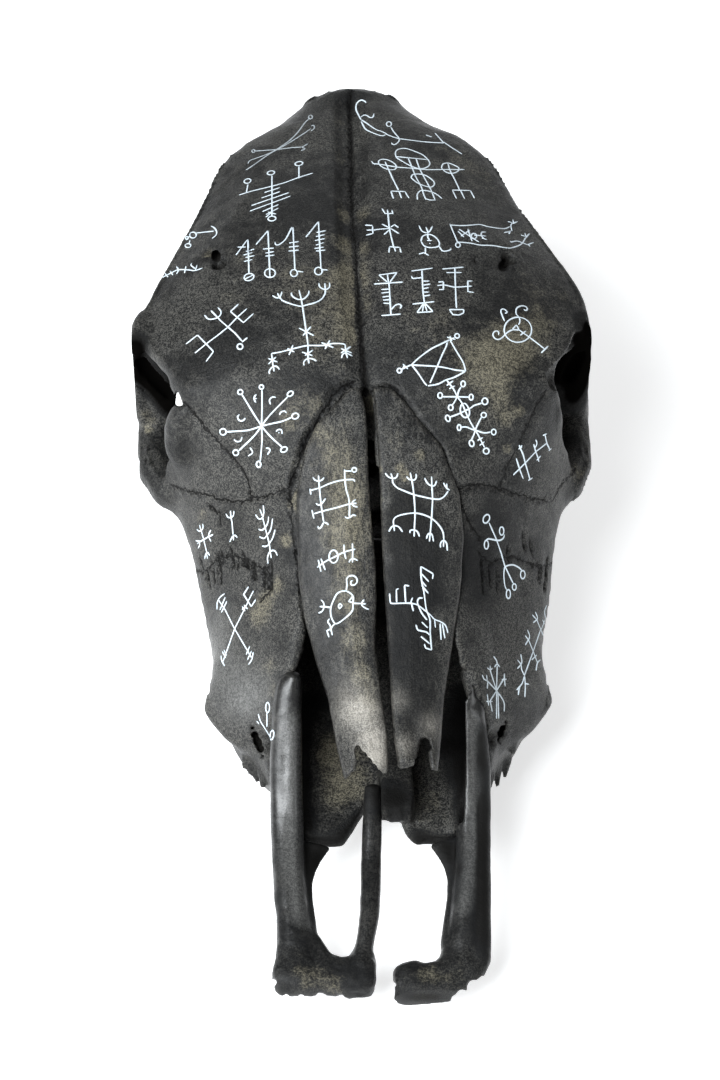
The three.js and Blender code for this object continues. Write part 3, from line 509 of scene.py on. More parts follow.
        bend(431.7, 476.6, 432, 486.8, 432.6, 499, 432, 512.8, 430.9, 526.4, 429.5, 541.5),
        bend(424.7, 478, 427.2, 482.7, 430.6, 485.5, 434.7, 485.5, 436.7, 480.7),
        bend(426.5, 538.7, 427.9, 534.6, 430.6, 533, 432.6, 536, 433.6, 541.5),
        bend(392.6, 478.6, 393, 482.7, 397, 487.5, 404.7, 491, 414.2, 494.7, 423.8, 497, 432.6, 498.8,
             440, 499, 444.9, 495.7, 448.3, 491),
        bend(385.2, 473, 388.2, 476.6, 392.6, 478.4, 396.4, 477.3, 398, 473.2),
        line(391, 473.2, 392.6, 478.4), bend(443.6, 482.7, 446.3, 487.5, 449.7, 490.2),
        line(446.8, 483.5, 447, 488),
        bend(393.7, 525.7, 393.7, 519.6, 397.8, 516, 406, 513.9, 415, 513, 423.9, 514.8, 432, 518.6,
             438.9, 525, 443, 532, 444, 540),
        bend(388.9, 531.6, 391.6, 527, 395, 525.7, 399, 527, 402.6, 531.9), line(394, 526, 394.4, 531),
        bend(440.5, 547.6, 440.8, 542.8, 443.8, 540.3, 446.7, 543.5, 447.4, 550.7),
        line(443.8, 540.3, 443.5, 547)],
    "nasal_ladder": [
        bend(389.6, 593.4, 390.3, 601.6, 391.6, 603.4, 400.5, 603.2, 410, 603.2, 417, 604.6, 422.4, 608.4,
             430, 614.5, 434.7, 619.3, 440, 621.4, 445.6, 625.4, 448, 633),
        line(396.7, 602.3, 396.4, 589.3, 399, 588.6), line(405.7, 602.3, 404.6, 585.2, 409.4, 585.9),
        line(412.8, 597.5, 411, 601.6, 413.5, 611.2),
        bend(421, 566.5, 421, 572.8, 421.7, 581, 423.8, 590.6, 425, 599.5, 426.5, 609.7, 430, 619.3,
             430.3, 631.6, 430.9, 641, 431.7, 650),
        line(421, 566.5, 433.3, 573.8, 432.6, 579),
        *bars(421.4, 573.5, 428.9, 581.7, 421.7, 581, 426.4, 586.5, 421.7, 585.2, 428.5, 593.4,
              440.2, 623.4, 441.2, 639.8, 442.6, 624, 445, 638.4, 434.7, 619.3, 435.5, 627.5,
              421.8, 622, 428, 628),
        line(416, 624.7, 417.7, 630, 426.5, 632, 430, 635), line(421, 636.4, 430, 643.9),
        line(424.4, 644, 425.8, 648, 431.7, 650),
        bend(423, 598, 419, 598.3, 417.5, 602, 419, 607, 422.4, 613.9, 427.2, 620)],
    "ringed_stem": [
        ring(486.4, 518.8, 3, 4.6, -25),
        line(489.1, 522.8, 496.2, 538.8, 501, 552.4, 504.6, 565.3, 513.2, 583.3), ring(514.3, 586.9, 2, 3.3),
        bend(486, 540.2, 488.8, 538.8, 496.2, 540.2, 500.2, 540.2, 503.5, 538, 504.3, 534.5),
        ring(501.7, 531, 2.2, 4.2), ring(486.4, 544.7, 2.1, 4.4),
        bend(504.6, 566.8, 509.6, 565, 513.9, 565, 518.9, 567.5, 521.8, 570.3), ring(522.8, 574.6, 2.3, 4.2),
        bend(504.6, 566.8, 503.9, 575.4, 504.9, 585.4, 506.7, 589.7), ring(508.4, 594, 2.1, 4.6)],
    "trident_chain": [
        line(541, 628.4, 533.2, 651.3, 524.6, 675), bend(546.7, 605.5, 544.6, 611.2, 545.6, 618.4),
        bend(549.6, 612, 549, 616, 545.9, 618.6),
        *bars(545.6, 618.4, 541, 629.9, 542.4, 619.8, 544.6, 624.1),
        line(541, 629.9, 538.2, 623.4, 537, 620), bend(535.3, 611.9, 537.5, 618.4, 533.2, 622.7),
        line(532.4, 614.8, 536.5, 619.5), line(541, 629.9, 543.9, 637, 546.8, 642.8),
        bend(548.8, 637.8, 546.5, 642, 544.6, 651.3), line(533.2, 651.3, 530.3, 644.2, 528.9, 640.6),
        bend(527.5, 629.9, 529.6, 637, 525.3, 644.9), line(525.3, 635.5, 528.9, 640.6),
        line(533.2, 651.3, 535.3, 657, 537.5, 662.8), bend(540.4, 659.9, 537.5, 662.8, 536, 670.6),
        line(531.8, 659.9, 536.8, 654.9), line(524.6, 675.7, 521.8, 669.9, 521, 664),
        bend(520.8, 654.2, 521.8, 662.8, 517.5, 668.5), line(517.5, 659.9, 521, 664),
        line(524.6, 675.7, 522.5, 682.8, 519.6, 687, 518.2, 695), line(516.7, 690, 521, 685),
        bend(524.6, 676, 525.3, 683.5, 525.3, 688.5, 524.9, 697), line(525.3, 683.5, 528.9, 684.2)],
    "cheek_star": [
        line(496.6, 718.7, 496.6, 690.7, 497.3, 665.7), bend(493.7, 656.3, 496.6, 660.6, 497.3, 665),
        line(494.5, 667, 497.3, 663.5, 499.8, 667), line(496.6, 690.7, 490.2, 670),
        line(487.3, 667.8, 490.2, 670, 490.2, 665.6),
        *bars(490.2, 670, 492.5, 668.3, 496.6, 690.7, 488, 681.3),
        line(482.3, 674.9, 484, 679, 488, 681.3, 487.3, 688.5),
        *bars(486.6, 674.9, 487.2, 680, 496.6, 690.7, 504.4, 677.8),
        line(504.4, 673.5, 504.4, 677.8, 505.2, 686.4),
        *bars(501.8, 679.5, 506.6, 679.2, 496.6, 690.7, 490.2, 700.7, 487.3, 694.3, 488.8, 705.7,
              486.6, 701.4, 492.5, 701.4, 490.2, 700.7, 492.3, 711.5, 498.8, 718.7, 498, 692),
        bend(496.6, 690.7, 502.3, 698.6, 504.4, 704.3, 504.2, 711.5)],
}

# How far a figure's paint has faded, from nothing to one.
FADED = {"crossed_lines": 0.55, "scroll_lines": 0.12, "trident_chain": 0.28, "cheek_star": 0.5,
         "cheek_cross": 0.15, "ringed_stem": 0.1, "nasal_ladder": 0.15, "nasal_arcs": 0.08,
         "crossed_bars": 0.12, "long_frame": 0.05}

# A painted line's section: how far out from the middle, in half widths, and height in millimetres.
SECTION = ((-1.0, -0.12), (-0.62, 0.07), (0.0, 0.12), (0.62, 0.07), (1.0, -0.12), (0.0, -0.25))
# How far apart its sections are in the picture, and the longest step between two on the bone, in metres.
PEN_STEP = 1.5
PEN_LEAP = 0.004
# How near the bone has to be for paint to stick to it, in metres, and how level it has to run on.
PEN_REACH = 0.003
PEN_LEVEL = 0.3
# How uneven its width is, and how narrow it is at its ends.
PEN_SWING = 0.16
PEN_END = 0.62

# Swellings and sunken places of the cranium: place in the picture, radius and rise in millimetres.
SWELLINGS = (
    (472, 190, 16, -1.8), (497, 222, 13, -1.4), (452, 160, 12, -1.2), (500, 170, 8, 1.4),
    (300, 300, 28, 0.8), (430, 320, 26, 0.7), (200, 330, 18, -1.0), (262, 470, 14, -0.9),
    (240, 540, 12, -0.8), (500, 470, 13, -1.0), (520, 600, 16, -0.9), (235, 640, 16, -0.8),
    (342, 110, 10, 0.7), (372, 110, 10, 0.6), (410, 240, 16, 0.5), (211, 256, 4, -1.4), (500, 266, 4, -1.2),
    (248, 730, 6, -1.0), (508, 730, 6, -0.8),
)

# Seams between the grown bones: channel radius and swing, then the places. The forehead's comes first.
SEAMS = (
    (1.15, 0.5, (351, 88, 350, 110, 351, 140, 352, 170, 352, 200, 355, 245, 358, 290, 360, 322, 362, 350,
                 364, 372, 366, 392)),
    (1.5, 2.4, (352, 383, 341, 388, 333, 395, 328, 405, 320, 415, 316, 426, 308, 436, 304, 446, 301, 458,
                297, 468, 292, 480, 290, 500)),
    (0.9, 1.6, (372, 392, 380, 388, 392, 388, 402, 398, 411, 414, 420, 437, 432, 460, 446, 478, 456, 492)),
    (0.8, 2.2, (456, 490, 461, 506, 470, 523, 480, 540)),
    (0.75, 2.6, (172, 485, 186, 490, 204, 494, 222, 499, 240, 501, 262, 497, 278, 492, 290, 489)),
    (0.75, 2.4, (456, 490, 474, 484, 492, 486, 508, 491, 526, 497, 544, 500)),
    (0.6, 2.0, (186, 405, 197, 416, 208, 430, 220, 444, 235, 460, 246, 476, 252, 497)),
    (0.6, 1.8, (545, 392, 536, 408, 528, 424, 518, 446, 506, 470, 500, 488)),
    (0.7, 2.6, (192, 566, 204, 572, 218, 560, 232, 556, 246, 560, 258, 566, 268, 570)),
    (0.7, 2.4, (478, 552, 492, 562, 508, 556, 524, 562, 540, 566, 556, 562)),
    (0.8, 1.0, (293, 505, 291, 520, 295, 545, 299, 575, 303, 605, 307, 628)),
    (0.7, 1.4, (268, 566, 270, 590, 262, 600)),
    (0.8, 0.8, (281, 688, 278, 715, 277, 745, 274, 770, 272, 790)),
    (0.8, 0.8, (481, 700, 484, 724, 486, 745, 487, 768)),
    (0.7, 0.6, (131, 385, 136, 386, 141, 388)),
    (0.5, 1.4, (575, 470, 560, 486, 552, 500)),
)
# The groove along the forehead's seam: how far its middle runs in front of the bone, and its radius.
GROOVE = (8.2, 9.0)

# Short parallel gouges where the cheek's bones have parted: top and bottom in the picture, radius.
GOUGES = (
    (219, 556, 221, 582, 0.7), (222, 552, 223, 561, 0.6), (231, 550, 233, 564, 0.9),
    (237, 556, 238, 566, 0.6), (243, 554, 244, 564, 0.8), (247, 560, 248, 568, 0.7),
    (253, 563, 254, 577, 0.9), (264, 568, 264, 588, 0.7), (270, 564, 270, 588, 1.1),
    (206, 570, 210, 586, 0.7), (213, 568, 215, 580, 0.6), (201, 560, 203, 570, 0.6),
    (209, 505, 216, 511, 0.8), (220, 514, 221, 522, 0.6), (482, 562, 484, 592, 0.9),
    (489, 566, 490, 584, 0.7), (496, 570, 497, 590, 0.6), (508, 548, 508, 560, 0.8),
    (523, 534, 525, 548, 0.7), (530, 540, 532, 552, 0.6), (548, 560, 544, 590, 0.8),
    (540, 568, 538, 580, 0.6), (536, 562, 541, 570, 0.5),
)

# Small holes where vessels and nerves left the bone: place in the picture, radius, depth.
FORAMINA = (
    (216, 257, 2.2, 9), (503, 268, 2.0, 8), (250, 251, 0.8, 4), (476, 262, 0.8, 4), (232, 285, 0.7, 3),
    (296, 552, 0.8, 3), (448, 575, 0.8, 3),
)

# The canals that open in the cheeks: places in the picture, each with its radius.
CANALS = (
    ((252.5, 728, 1.0), (255, 735, 1.6), (258, 742, 1.9), (261, 749, 1.6), (263.5, 756, 0.9)),
    ((505, 722, 0.9), (502.5, 728, 1.5), (500, 734, 1.6), (497.5, 740, 1.0)),
)

# Edges that stay crisp, as paths in the picture.
CRISP = (
    (352, 386, 333, 398, 318, 420, 304, 448, 297, 470, 292, 495, 292, 520, 296, 560, 303, 610, 308, 630,
     301, 645, 292, 665, 284, 684),
    (374, 388, 392, 388, 405, 400, 418, 430, 434, 458, 450, 480, 458, 505, 459, 540, 457, 580, 453, 620,
     455, 650, 464, 674, 470, 704),
    (131, 332, 138, 345, 146, 356, 154, 366, 162, 375, 170, 382, 178, 390, 185, 404),
    (590, 308, 583, 322, 574, 336, 564, 349, 555, 362, 546, 378, 560, 387, 563, 400, 565, 415, 568, 428),
    (158, 492, 170, 488, 181, 478), (209, 720, 230, 741, 249, 768, 262, 785),
    (540, 722, 524, 733, 508, 755, 494, 785),
)

# Where the skull's edge is level with the bone beside it: side of the skull, then places in the picture.
BORDERS = (
    (1, (350, 387, 333, 399, 321, 418, 309, 446, 300, 470, 294, 500, 294, 530, 298, 570, 305, 620)),
    (1, (298, 650, 289, 667, 281, 686, 275, 712, 273, 735)), (-1, (466, 674, 473, 695, 481, 712, 486, 730)),
    (-1, (376, 392, 392, 394, 404, 406, 417, 434, 433, 462, 449, 486, 457, 510, 459, 545, 457, 590, 454,
          630)),
)

# Dark places under the brows, above the cheek bars: places in the picture, radius, depth.
ORBIT_CUTS = (
    ((141, 360, 148, 370, 155, 378, 162, 385, 169, 391, 174, 400), 3.0, 2.4),
    ((579, 340, 574, 350, 567, 361, 560, 371, 553, 380), 4.4, 2.4),
    ((579, 354, 574, 364, 568, 376), 3.0, 2.5),
)
# The gap in the left eye's inner corner, open right through: places in the picture, each with its radius.
CORNER_GAP = ((178.8, 402.5, 1.6), (180.5, 404, 1.1), (178.5, 398, 1.3), (177.6, 393.5, 0.9))

# Ridges on the skull, level with the bone beside them: path in the picture, where to read the level,
# radius, depth and blend.
RIMS = (
    ((185, 413, 179, 422, 177.5, 433, 178.5, 445, 181, 456), (6, 2), 4.2, 4.6, 4.0),
    ((142, 316, 139, 327, 137, 340, 136.4, 355, 136.6, 372, 138, 390, 140, 404, 144, 420), (8, 0), 2.2, 3.4,
     3.0),
)

# The broken front end of the plate under the nasal bones: places in the picture, each with its radius.
VOMER_END = (
    (384, 827, 3.0), (390, 828.5, 2.6), (396, 829.5, 3.2), (402, 827.5, 2.7), (408, 828.5, 3.1),
    (412.5, 827, 2.3),
)
# The front edge of the palate beside it, which comes further forward than the solid.
PALATE_END = (407, 824, 412, 833, 419, 840)

# What closes the gap between the nasal bones: place that gives its level, ends in the picture, radius.
NASAL_PLUG = ((378, 508), ((373, 526), (382, 526)), 6.0)
# The bed that is cut for the nasal bones' inner edges, as a path in the picture.
NASAL_BED = (366, 396, 368, 420, 369, 450, 371, 470)

# Small points of broken bone along the cheek's lower edge: start and end in the picture, radius.
POINTS = (
    (246, 757, 244, 767, 2.2), (254, 767, 257, 780, 2.4), (262, 770, 263, 785, 2.2),
    (250, 762, 250, 773, 1.6), (513, 744, 513, 752, 2.0), (507, 758, 505, 776, 2.4),
    (498, 768, 497, 785, 2.2), (490, 776, 489, 788, 2.0),
)

# Where an incisive bone is level with the bone beside it: path in the picture, where to read the level,
# radius and depth.
RIDGES = {
    "incisive_bone_left": (
        ((289, 681, 286.5, 690, 284.5, 702, 283, 722, 280.5, 758, 281, 790, 281.5, 822, 283, 851, 285, 882,
          287, 908), (7, 0), 3.6, 5.6),),
    "incisive_bone_right": (
        ((474, 712, 477, 730, 480, 750, 481.3, 768, 481.3, 801, 481.3, 851, 481.5, 900, 481.8, 942,
          481.8, 966), (-5, 0), 2.9, 5.0),
        ((401, 999, 413, 1003, 428, 1003, 442, 1000), (0, -10), 2.4, 3.2)),
}
# The top of each incisive bone: place on the skull that gives its level, path in the picture, radii, depth.
ROD_TOPS = {
    "incisive_bone_left": ((289, 662), (286, 712, 289, 698, 294, 684), (3.6, 3.4, 2.4), 3.8),
    "incisive_bone_right": ((475, 690), (476, 724, 476, 710, 476, 700), (3.2, 3.0, 2.2), 3.8),
}

# Strips shaved off a small bone's side: places in the picture, radius at the ends and in the middle.
SHAVED = {
    "nasal_bone_left": (
        (296, 602, 299, 620, 305, 640, 311.5, 660, 317.5, 681, 324.5, 708, 330, 730, 336, 750, 341, 768),
        3.0, 3.0),
    "nasal_bone_right": ((458, 622, 456.4, 640, 455.4, 655, 453.5, 687, 452, 712), 3.0, 3.0),
    "incisive_bone_right": ((460, 694, 459, 730, 459, 770, 459, 806, 460, 820), 1.5, 3.0),
}

# Chips out of the ends of the small bones: place in the picture and radius.
CHIPPED = {
    "nasal_bone_left": (
        (361.6, 757, 2.4), (366.6, 763, 2.4), (371.6, 769, 2.4), (376.6, 775, 2.4), (357.8, 748, 1.2),
        (358.5, 752, 1.6), (354, 775, 1.6), (352, 781, 2.6)),
    "nasal_bone_right": (
        (433, 776, 2.4), (437, 777, 2.4), (441, 775, 2.0), (426, 742, 1.5), (426.5, 747, 2.0),
        (412, 769, 1.3), (418, 764, 1.6)),
    "incisive_bone_right": (
        (465, 660, 3.6), (466, 670, 3.6), (465.5, 680, 3.4), (463.5, 688, 3.4), (461.5, 695, 3.0)),
}

# Bites out of the broken lower edges: place in the picture and radius.
NOTCHES = {
    "incisive_bone_left": (
        (286, 996.5, 1.3), (301, 997, 1.1), (321, 997.5, 2.0), (325, 999, 1.4), (341, 999, 1.8),
        (346, 1000.5, 1.4), (359, 1001, 1.1), (273, 982.5, 1.3), (375, 1001.5, 1.5), (377, 987, 1.3)),
    "incisive_bone_right": (
        (395, 1002.5, 1.3), (404, 1010.5, 1.2), (418, 1009.5, 1.5), (429, 1008.5, 1.2), (440, 1010.5, 1.7),
        (457, 1000.5, 3.2), (462, 996.5, 3.2), (474, 987.5, 3.2), (484, 983.5, 3.2), (492, 979.5, 3.2),
        (394, 984.5, 1.2)),
}

# Dents in the small bones, as places in the picture.
DENTS = {"nasal_bone_right": ((412, 722), (416, 738), (418, 752))}

# Seams where the picture doesn't see them: the way that they face, radius and swing, then places on the
# flat that they face, in millimetres.
HIDDEN_SEAMS = (
    ((0, 0, -1), 0.8, 0.9, (0, -150, 0, -120, 0.5, -90, 0, -60, 0, -30, 0, -24)),
    ((0, 0, -1), 0.7, 1.4, (-37, -6, -28, -16, -14, -22, 0, -24, 14, -22, 28, -16, 37, -6)),
    ((0, 1, 0), 0.8, 1.6, (-48, 112, -34, 122, -16, 127, 0, 128, 16, 127, 34, 122, 48, 112)),
    ((-1, 0, 0), 0.7, 1.8, (88, 104, 104, 117, 124, 122, 146, 120, 166, 111)),
    ((1, 0, 0), 0.7, 1.8, (88, 104, 104, 117, 124, 122, 146, 120, 166, 111)),
)
# Vessel holes where the picture doesn't see them: the way that they face, place, radius and depth.
HIDDEN_HOLES = (
    ((0, 0, -1), (-17, -14), 2.0, 6), ((0, 0, -1), (17, -14), 2.0, 6), ((0, 1, 0), (-22, 112), 1.2, 4),
    ((0, 1, 0), (24, 110), 1.2, 4), ((-1, 0, 0), (150, 100), 1.3, 5), ((1, 0, 0), (150, 100), 1.3, 5),
)

# Worn places and painted shade: place in the picture, radius in picture points, how far the pigment is gone.
# Negative values are painted shade, under the brows, in the eye sockets and cavities and on sides turned
# from the light, and darker bone along the seams: below minus two it turns black and matt.
WEAR_AND_SHADE = {
    "cranium_bone": (
        *row(SEAMS[0][2], 3.0, -0.75, 3.0), *row(SEAMS[1][2], 3.5, -0.6), *row(SEAMS[2][2], 3.0, -0.5),
        *row((307, 843, 330, 843, 344, 839, 354, 826, 361, 814), 7, -0.8),
        *row((415, 836, 425, 841, 436, 841, 452, 842, 470, 840), 7, -0.8),
        *row((588, 345, 585, 365, 578, 385, 572, 400), 10, -1.9, 6.0),
        *row((300, 700, 303, 740, 304, 790, 306, 830), 7, -0.7, 5.0),
        *row((466, 700, 464, 740, 463, 790, 462, 830), 7, -0.7, 5.0),
        *row((235, 505, 225, 525, 240, 545), 22, -0.12, 10),
        *row((591, 322, 584, 334, 575, 350, 565, 366, 555, 378), 9, -2.2, 6.0),
        *row((588, 345, 584, 362, 576, 378), 9, -2.2, 6.0),
        *row((134, 345, 140, 358, 149, 371, 158, 382, 167, 392), 8, -2.4, 6.0),
        *row((136, 358, 140, 374, 152, 384, 166, 398, 170, 408), 7, -2.0, 6.0), (388, 798, 12, -0.9),
        (405, 798, 12, -0.9), (396, 815, 12, -1.1), (380, 785, 8, -0.8), (456, 720, 12, -1.4),
        (460, 745, 12, -1.4), (458, 768, 12, -1.0), (462, 690, 8, -1.2), (312, 700, 10, -1.0),
        (305, 740, 8, -0.8), (304, 780, 8, -0.8), (306, 820, 9, -0.9), (344, 215, 12, 0.8),
        (346, 245, 13, 0.9), (349, 275, 14, 1.0), (351, 305, 14, 0.85), (354, 335, 12, 0.7),
        (340, 120, 16, 0.5), (345, 160, 12, 0.45), (364, 215, 9, 0.5), (367, 250, 9, 0.45),
        (320, 280, 34, 0.28), (330, 345, 30, 0.32), (258, 300, 40, 0.18), (505, 355, 24, 0.75),
        (522, 335, 22, 0.6), (480, 372, 22, 0.5), (545, 320, 16, 0.5), (440, 330, 44, 0.25),
        (470, 175, 26, 0.35), (444, 146, 18, 0.3), (292, 400, 24, 0.35), (318, 408, 10, 0.5),
        (288, 425, 10, 0.5), (258, 616, 12, 0.65), (266, 600, 9, 0.6), (277, 585, 9, 0.7),
        (286, 541, 7, 1.1), (272, 690, 8, 0.5), (269, 668, 10, 0.4), (205, 515, 10, 0.5),
        (250, 250, 26, 0.2), (530, 290, 22, 0.35), (500, 400, 12, 0.5), (505, 420, 8, 0.6),
        (507, 448, 5, 0.9), (520, 410, 6, 0.8), (154, 415, 12, 0.5), (136, 387, 3, 0.9), (147, 429, 4, 0.9),
        (578, 472, 9, 0.7), (150, 300, 14, 0.3), (568, 300, 12, 0.3), (330, 745, 26, 0.75),
        (345, 790, 24, 0.7), (430, 800, 24, 0.45), (434, 762, 14, 0.4), (450, 770, 24, -0.5),
        (369, 405, 8, 1.6), (300, 465, 6, 1.3), (296, 500, 8, 1.5), (138, 352, 11, -2.2),
        (144, 362, 12, -2.2), (153, 372, 12, -2.2), (161, 384, 11, -2.2), (137, 368, 10, -2.0),
        (140, 377, 9, -1.5), (168, 398, 9, -2.2), (170, 410, 8, -2.0), (585, 328, 11, -2.2),
        (578, 342, 12, -2.2), (570, 356, 12, -2.2), (562, 370, 11, -2.2), (584, 345, 12, -2.0),
        (580, 362, 12, -2.0), (572, 376, 10, -1.8), (578, 395, 12, -0.8), (572, 440, 12, -1.0),
        (486, 600, 30, -0.5), (470, 560, 24, -0.5), (500, 520, 22, -0.4), (430, 240, 30, -0.3),
        (475, 790, 20, -0.5), (448, 745, 10, -0.6), (325, 700, 12, -0.7), (458, 700, 12, -0.8),
        (390, 790, 16, -0.9), (320, 112, 24, -0.6), (345, 100, 16, -0.5), (385, 110, 16, -0.3),
        (470, 560, 40, -0.35), (208, 255, 6, 0.8), (372, 330, 12, -0.5), (368, 380, 10, -0.5),
        (440, 745, 16, -0.9), (462, 780, 12, -0.9), (322, 720, 12, -0.7), (155, 300, 20, -0.2),
        (330, 260, 10, -0.2), (408, 430, 18, -0.3)),
    "nasal_left": (
        (335, 450, 20, 0.55), (345, 490, 20, 0.75), (345, 530, 20, 0.9), (348, 570, 16, 0.65),
        (345, 605, 16, 0.6), (352, 640, 14, 0.75), (358, 675, 12, 0.85), (364, 705, 12, 0.9),
        (318, 430, 9, 0.4)),
    # The right nasal bone's negative blots are painted shade on its side turned from the light.
    "nasal_right": (
        (405, 477, 5, 1.8), (400, 468, 5, 0.9), (420, 455, 6, 0.7), (395, 440, 12, 0.3), (384, 500, 5, 0.8),
        (381, 470, 4, 0.8), (440, 618, 9, 0.7), (444, 650, 8, 0.7), (386, 560, 5, 0.5), (415, 540, 30, -1.1),
        (415, 600, 30, -1.0), (410, 660, 30, -1.0), (405, 500, 20, -0.7), (415, 720, 18, -0.9),
        (430, 745, 12, -0.6)),
    "incisive_left": (
        (300, 975, 14, 0.55), (335, 980, 14, 0.45), (374, 785, 9, -1.4), (374, 796, 9, -1.2),
        (374, 809, 9, -0.9), (320, 852, 13, -2.4), (314, 872, 12, -2.0), (312, 895, 10, -1.6),
        (310, 915, 8, -1.2), (285, 990, 12, -0.8), (310, 998, 10, -0.6), (340, 1000, 10, -0.6),
        (365, 998, 12, -0.8), (276, 900, 10, -0.8), (276, 860, 10, -0.8), (310, 860, 12, -0.9)),
    "incisive_right": (
        (425, 975, 16, 0.45), (445, 985, 12, 0.3), (405, 1000, 12, -0.6), (440, 1004, 14, -0.8),
        *row((483, 800, 484, 880, 484, 960), 9, -0.25, 5), (448, 852, 13, -2.2), (456, 872, 11, -1.8),
        (457, 895, 9, -1.2), *row((481, 730, 483, 780, 483, 860, 482, 940), 8, -0.35, 5),
        (484, 760, 10, -0.7), (483, 735, 9, -0.6)),
}

# Polished places, glossier and painted lighter as painted highlights: place in the picture, radius in
# picture points, how far. Where the bone has gone dull it is negative.
POLISH_AND_HIGHLIGHT = {
    "cranium_bone": (
        (232, 685, 26, 0.85), (214, 655, 18, 0.6), (246, 705, 14, 0.7), (262, 690, 16, 0.6),
        (216, 640, 20, 0.5), (222, 610, 16, 0.3), (540, 640, 16, 0.3), (530, 690, 16, 0.4)),
    "nasal_left": (
        (352, 690, 14, 0.4), (350, 712, 13, 0.7), (372, 738, 11, 1.7), (376, 758, 9, 1.7),
        (364, 712, 11, 1.2)),
    "nasal_right": (
        (432, 725, 9, 0.6), (404, 745, 8, 0.6), (398, 700, 8, 0.4)),
    "incisive_left": (
        *row((291, 715, 290, 785, 288, 815, 289, 845, 292, 870, 297, 895, 302, 922), 8, 0.26, 5),
        (300, 972, 20, -1.6), (335, 978, 20, -1.6), (362, 975, 16, -1.6), (285, 950, 12, -1.0)),
    "incisive_right": (
        *row((471, 715, 472, 745, 473, 805, 473, 835, 471, 862, 467, 888, 462, 912), 6, 0.24, 5),
        (410, 985, 18, -1.6), (440, 985, 18, -1.6), (472, 970, 16, -1.6), (480, 940, 12, -1.0)),
}
# Millimetres to a picture point, for the radii of the blots of wear, shade and polish.
BLOT_SCALE = 0.55
# How far round a place its hollow is felt, in millimetres.
HOLLOW_REACH = 3.0
# What the bone's material reads at each vertex.
LAYERS = ("wear_and_shade", "polish_and_highlight", "hollow", "beside", "near")


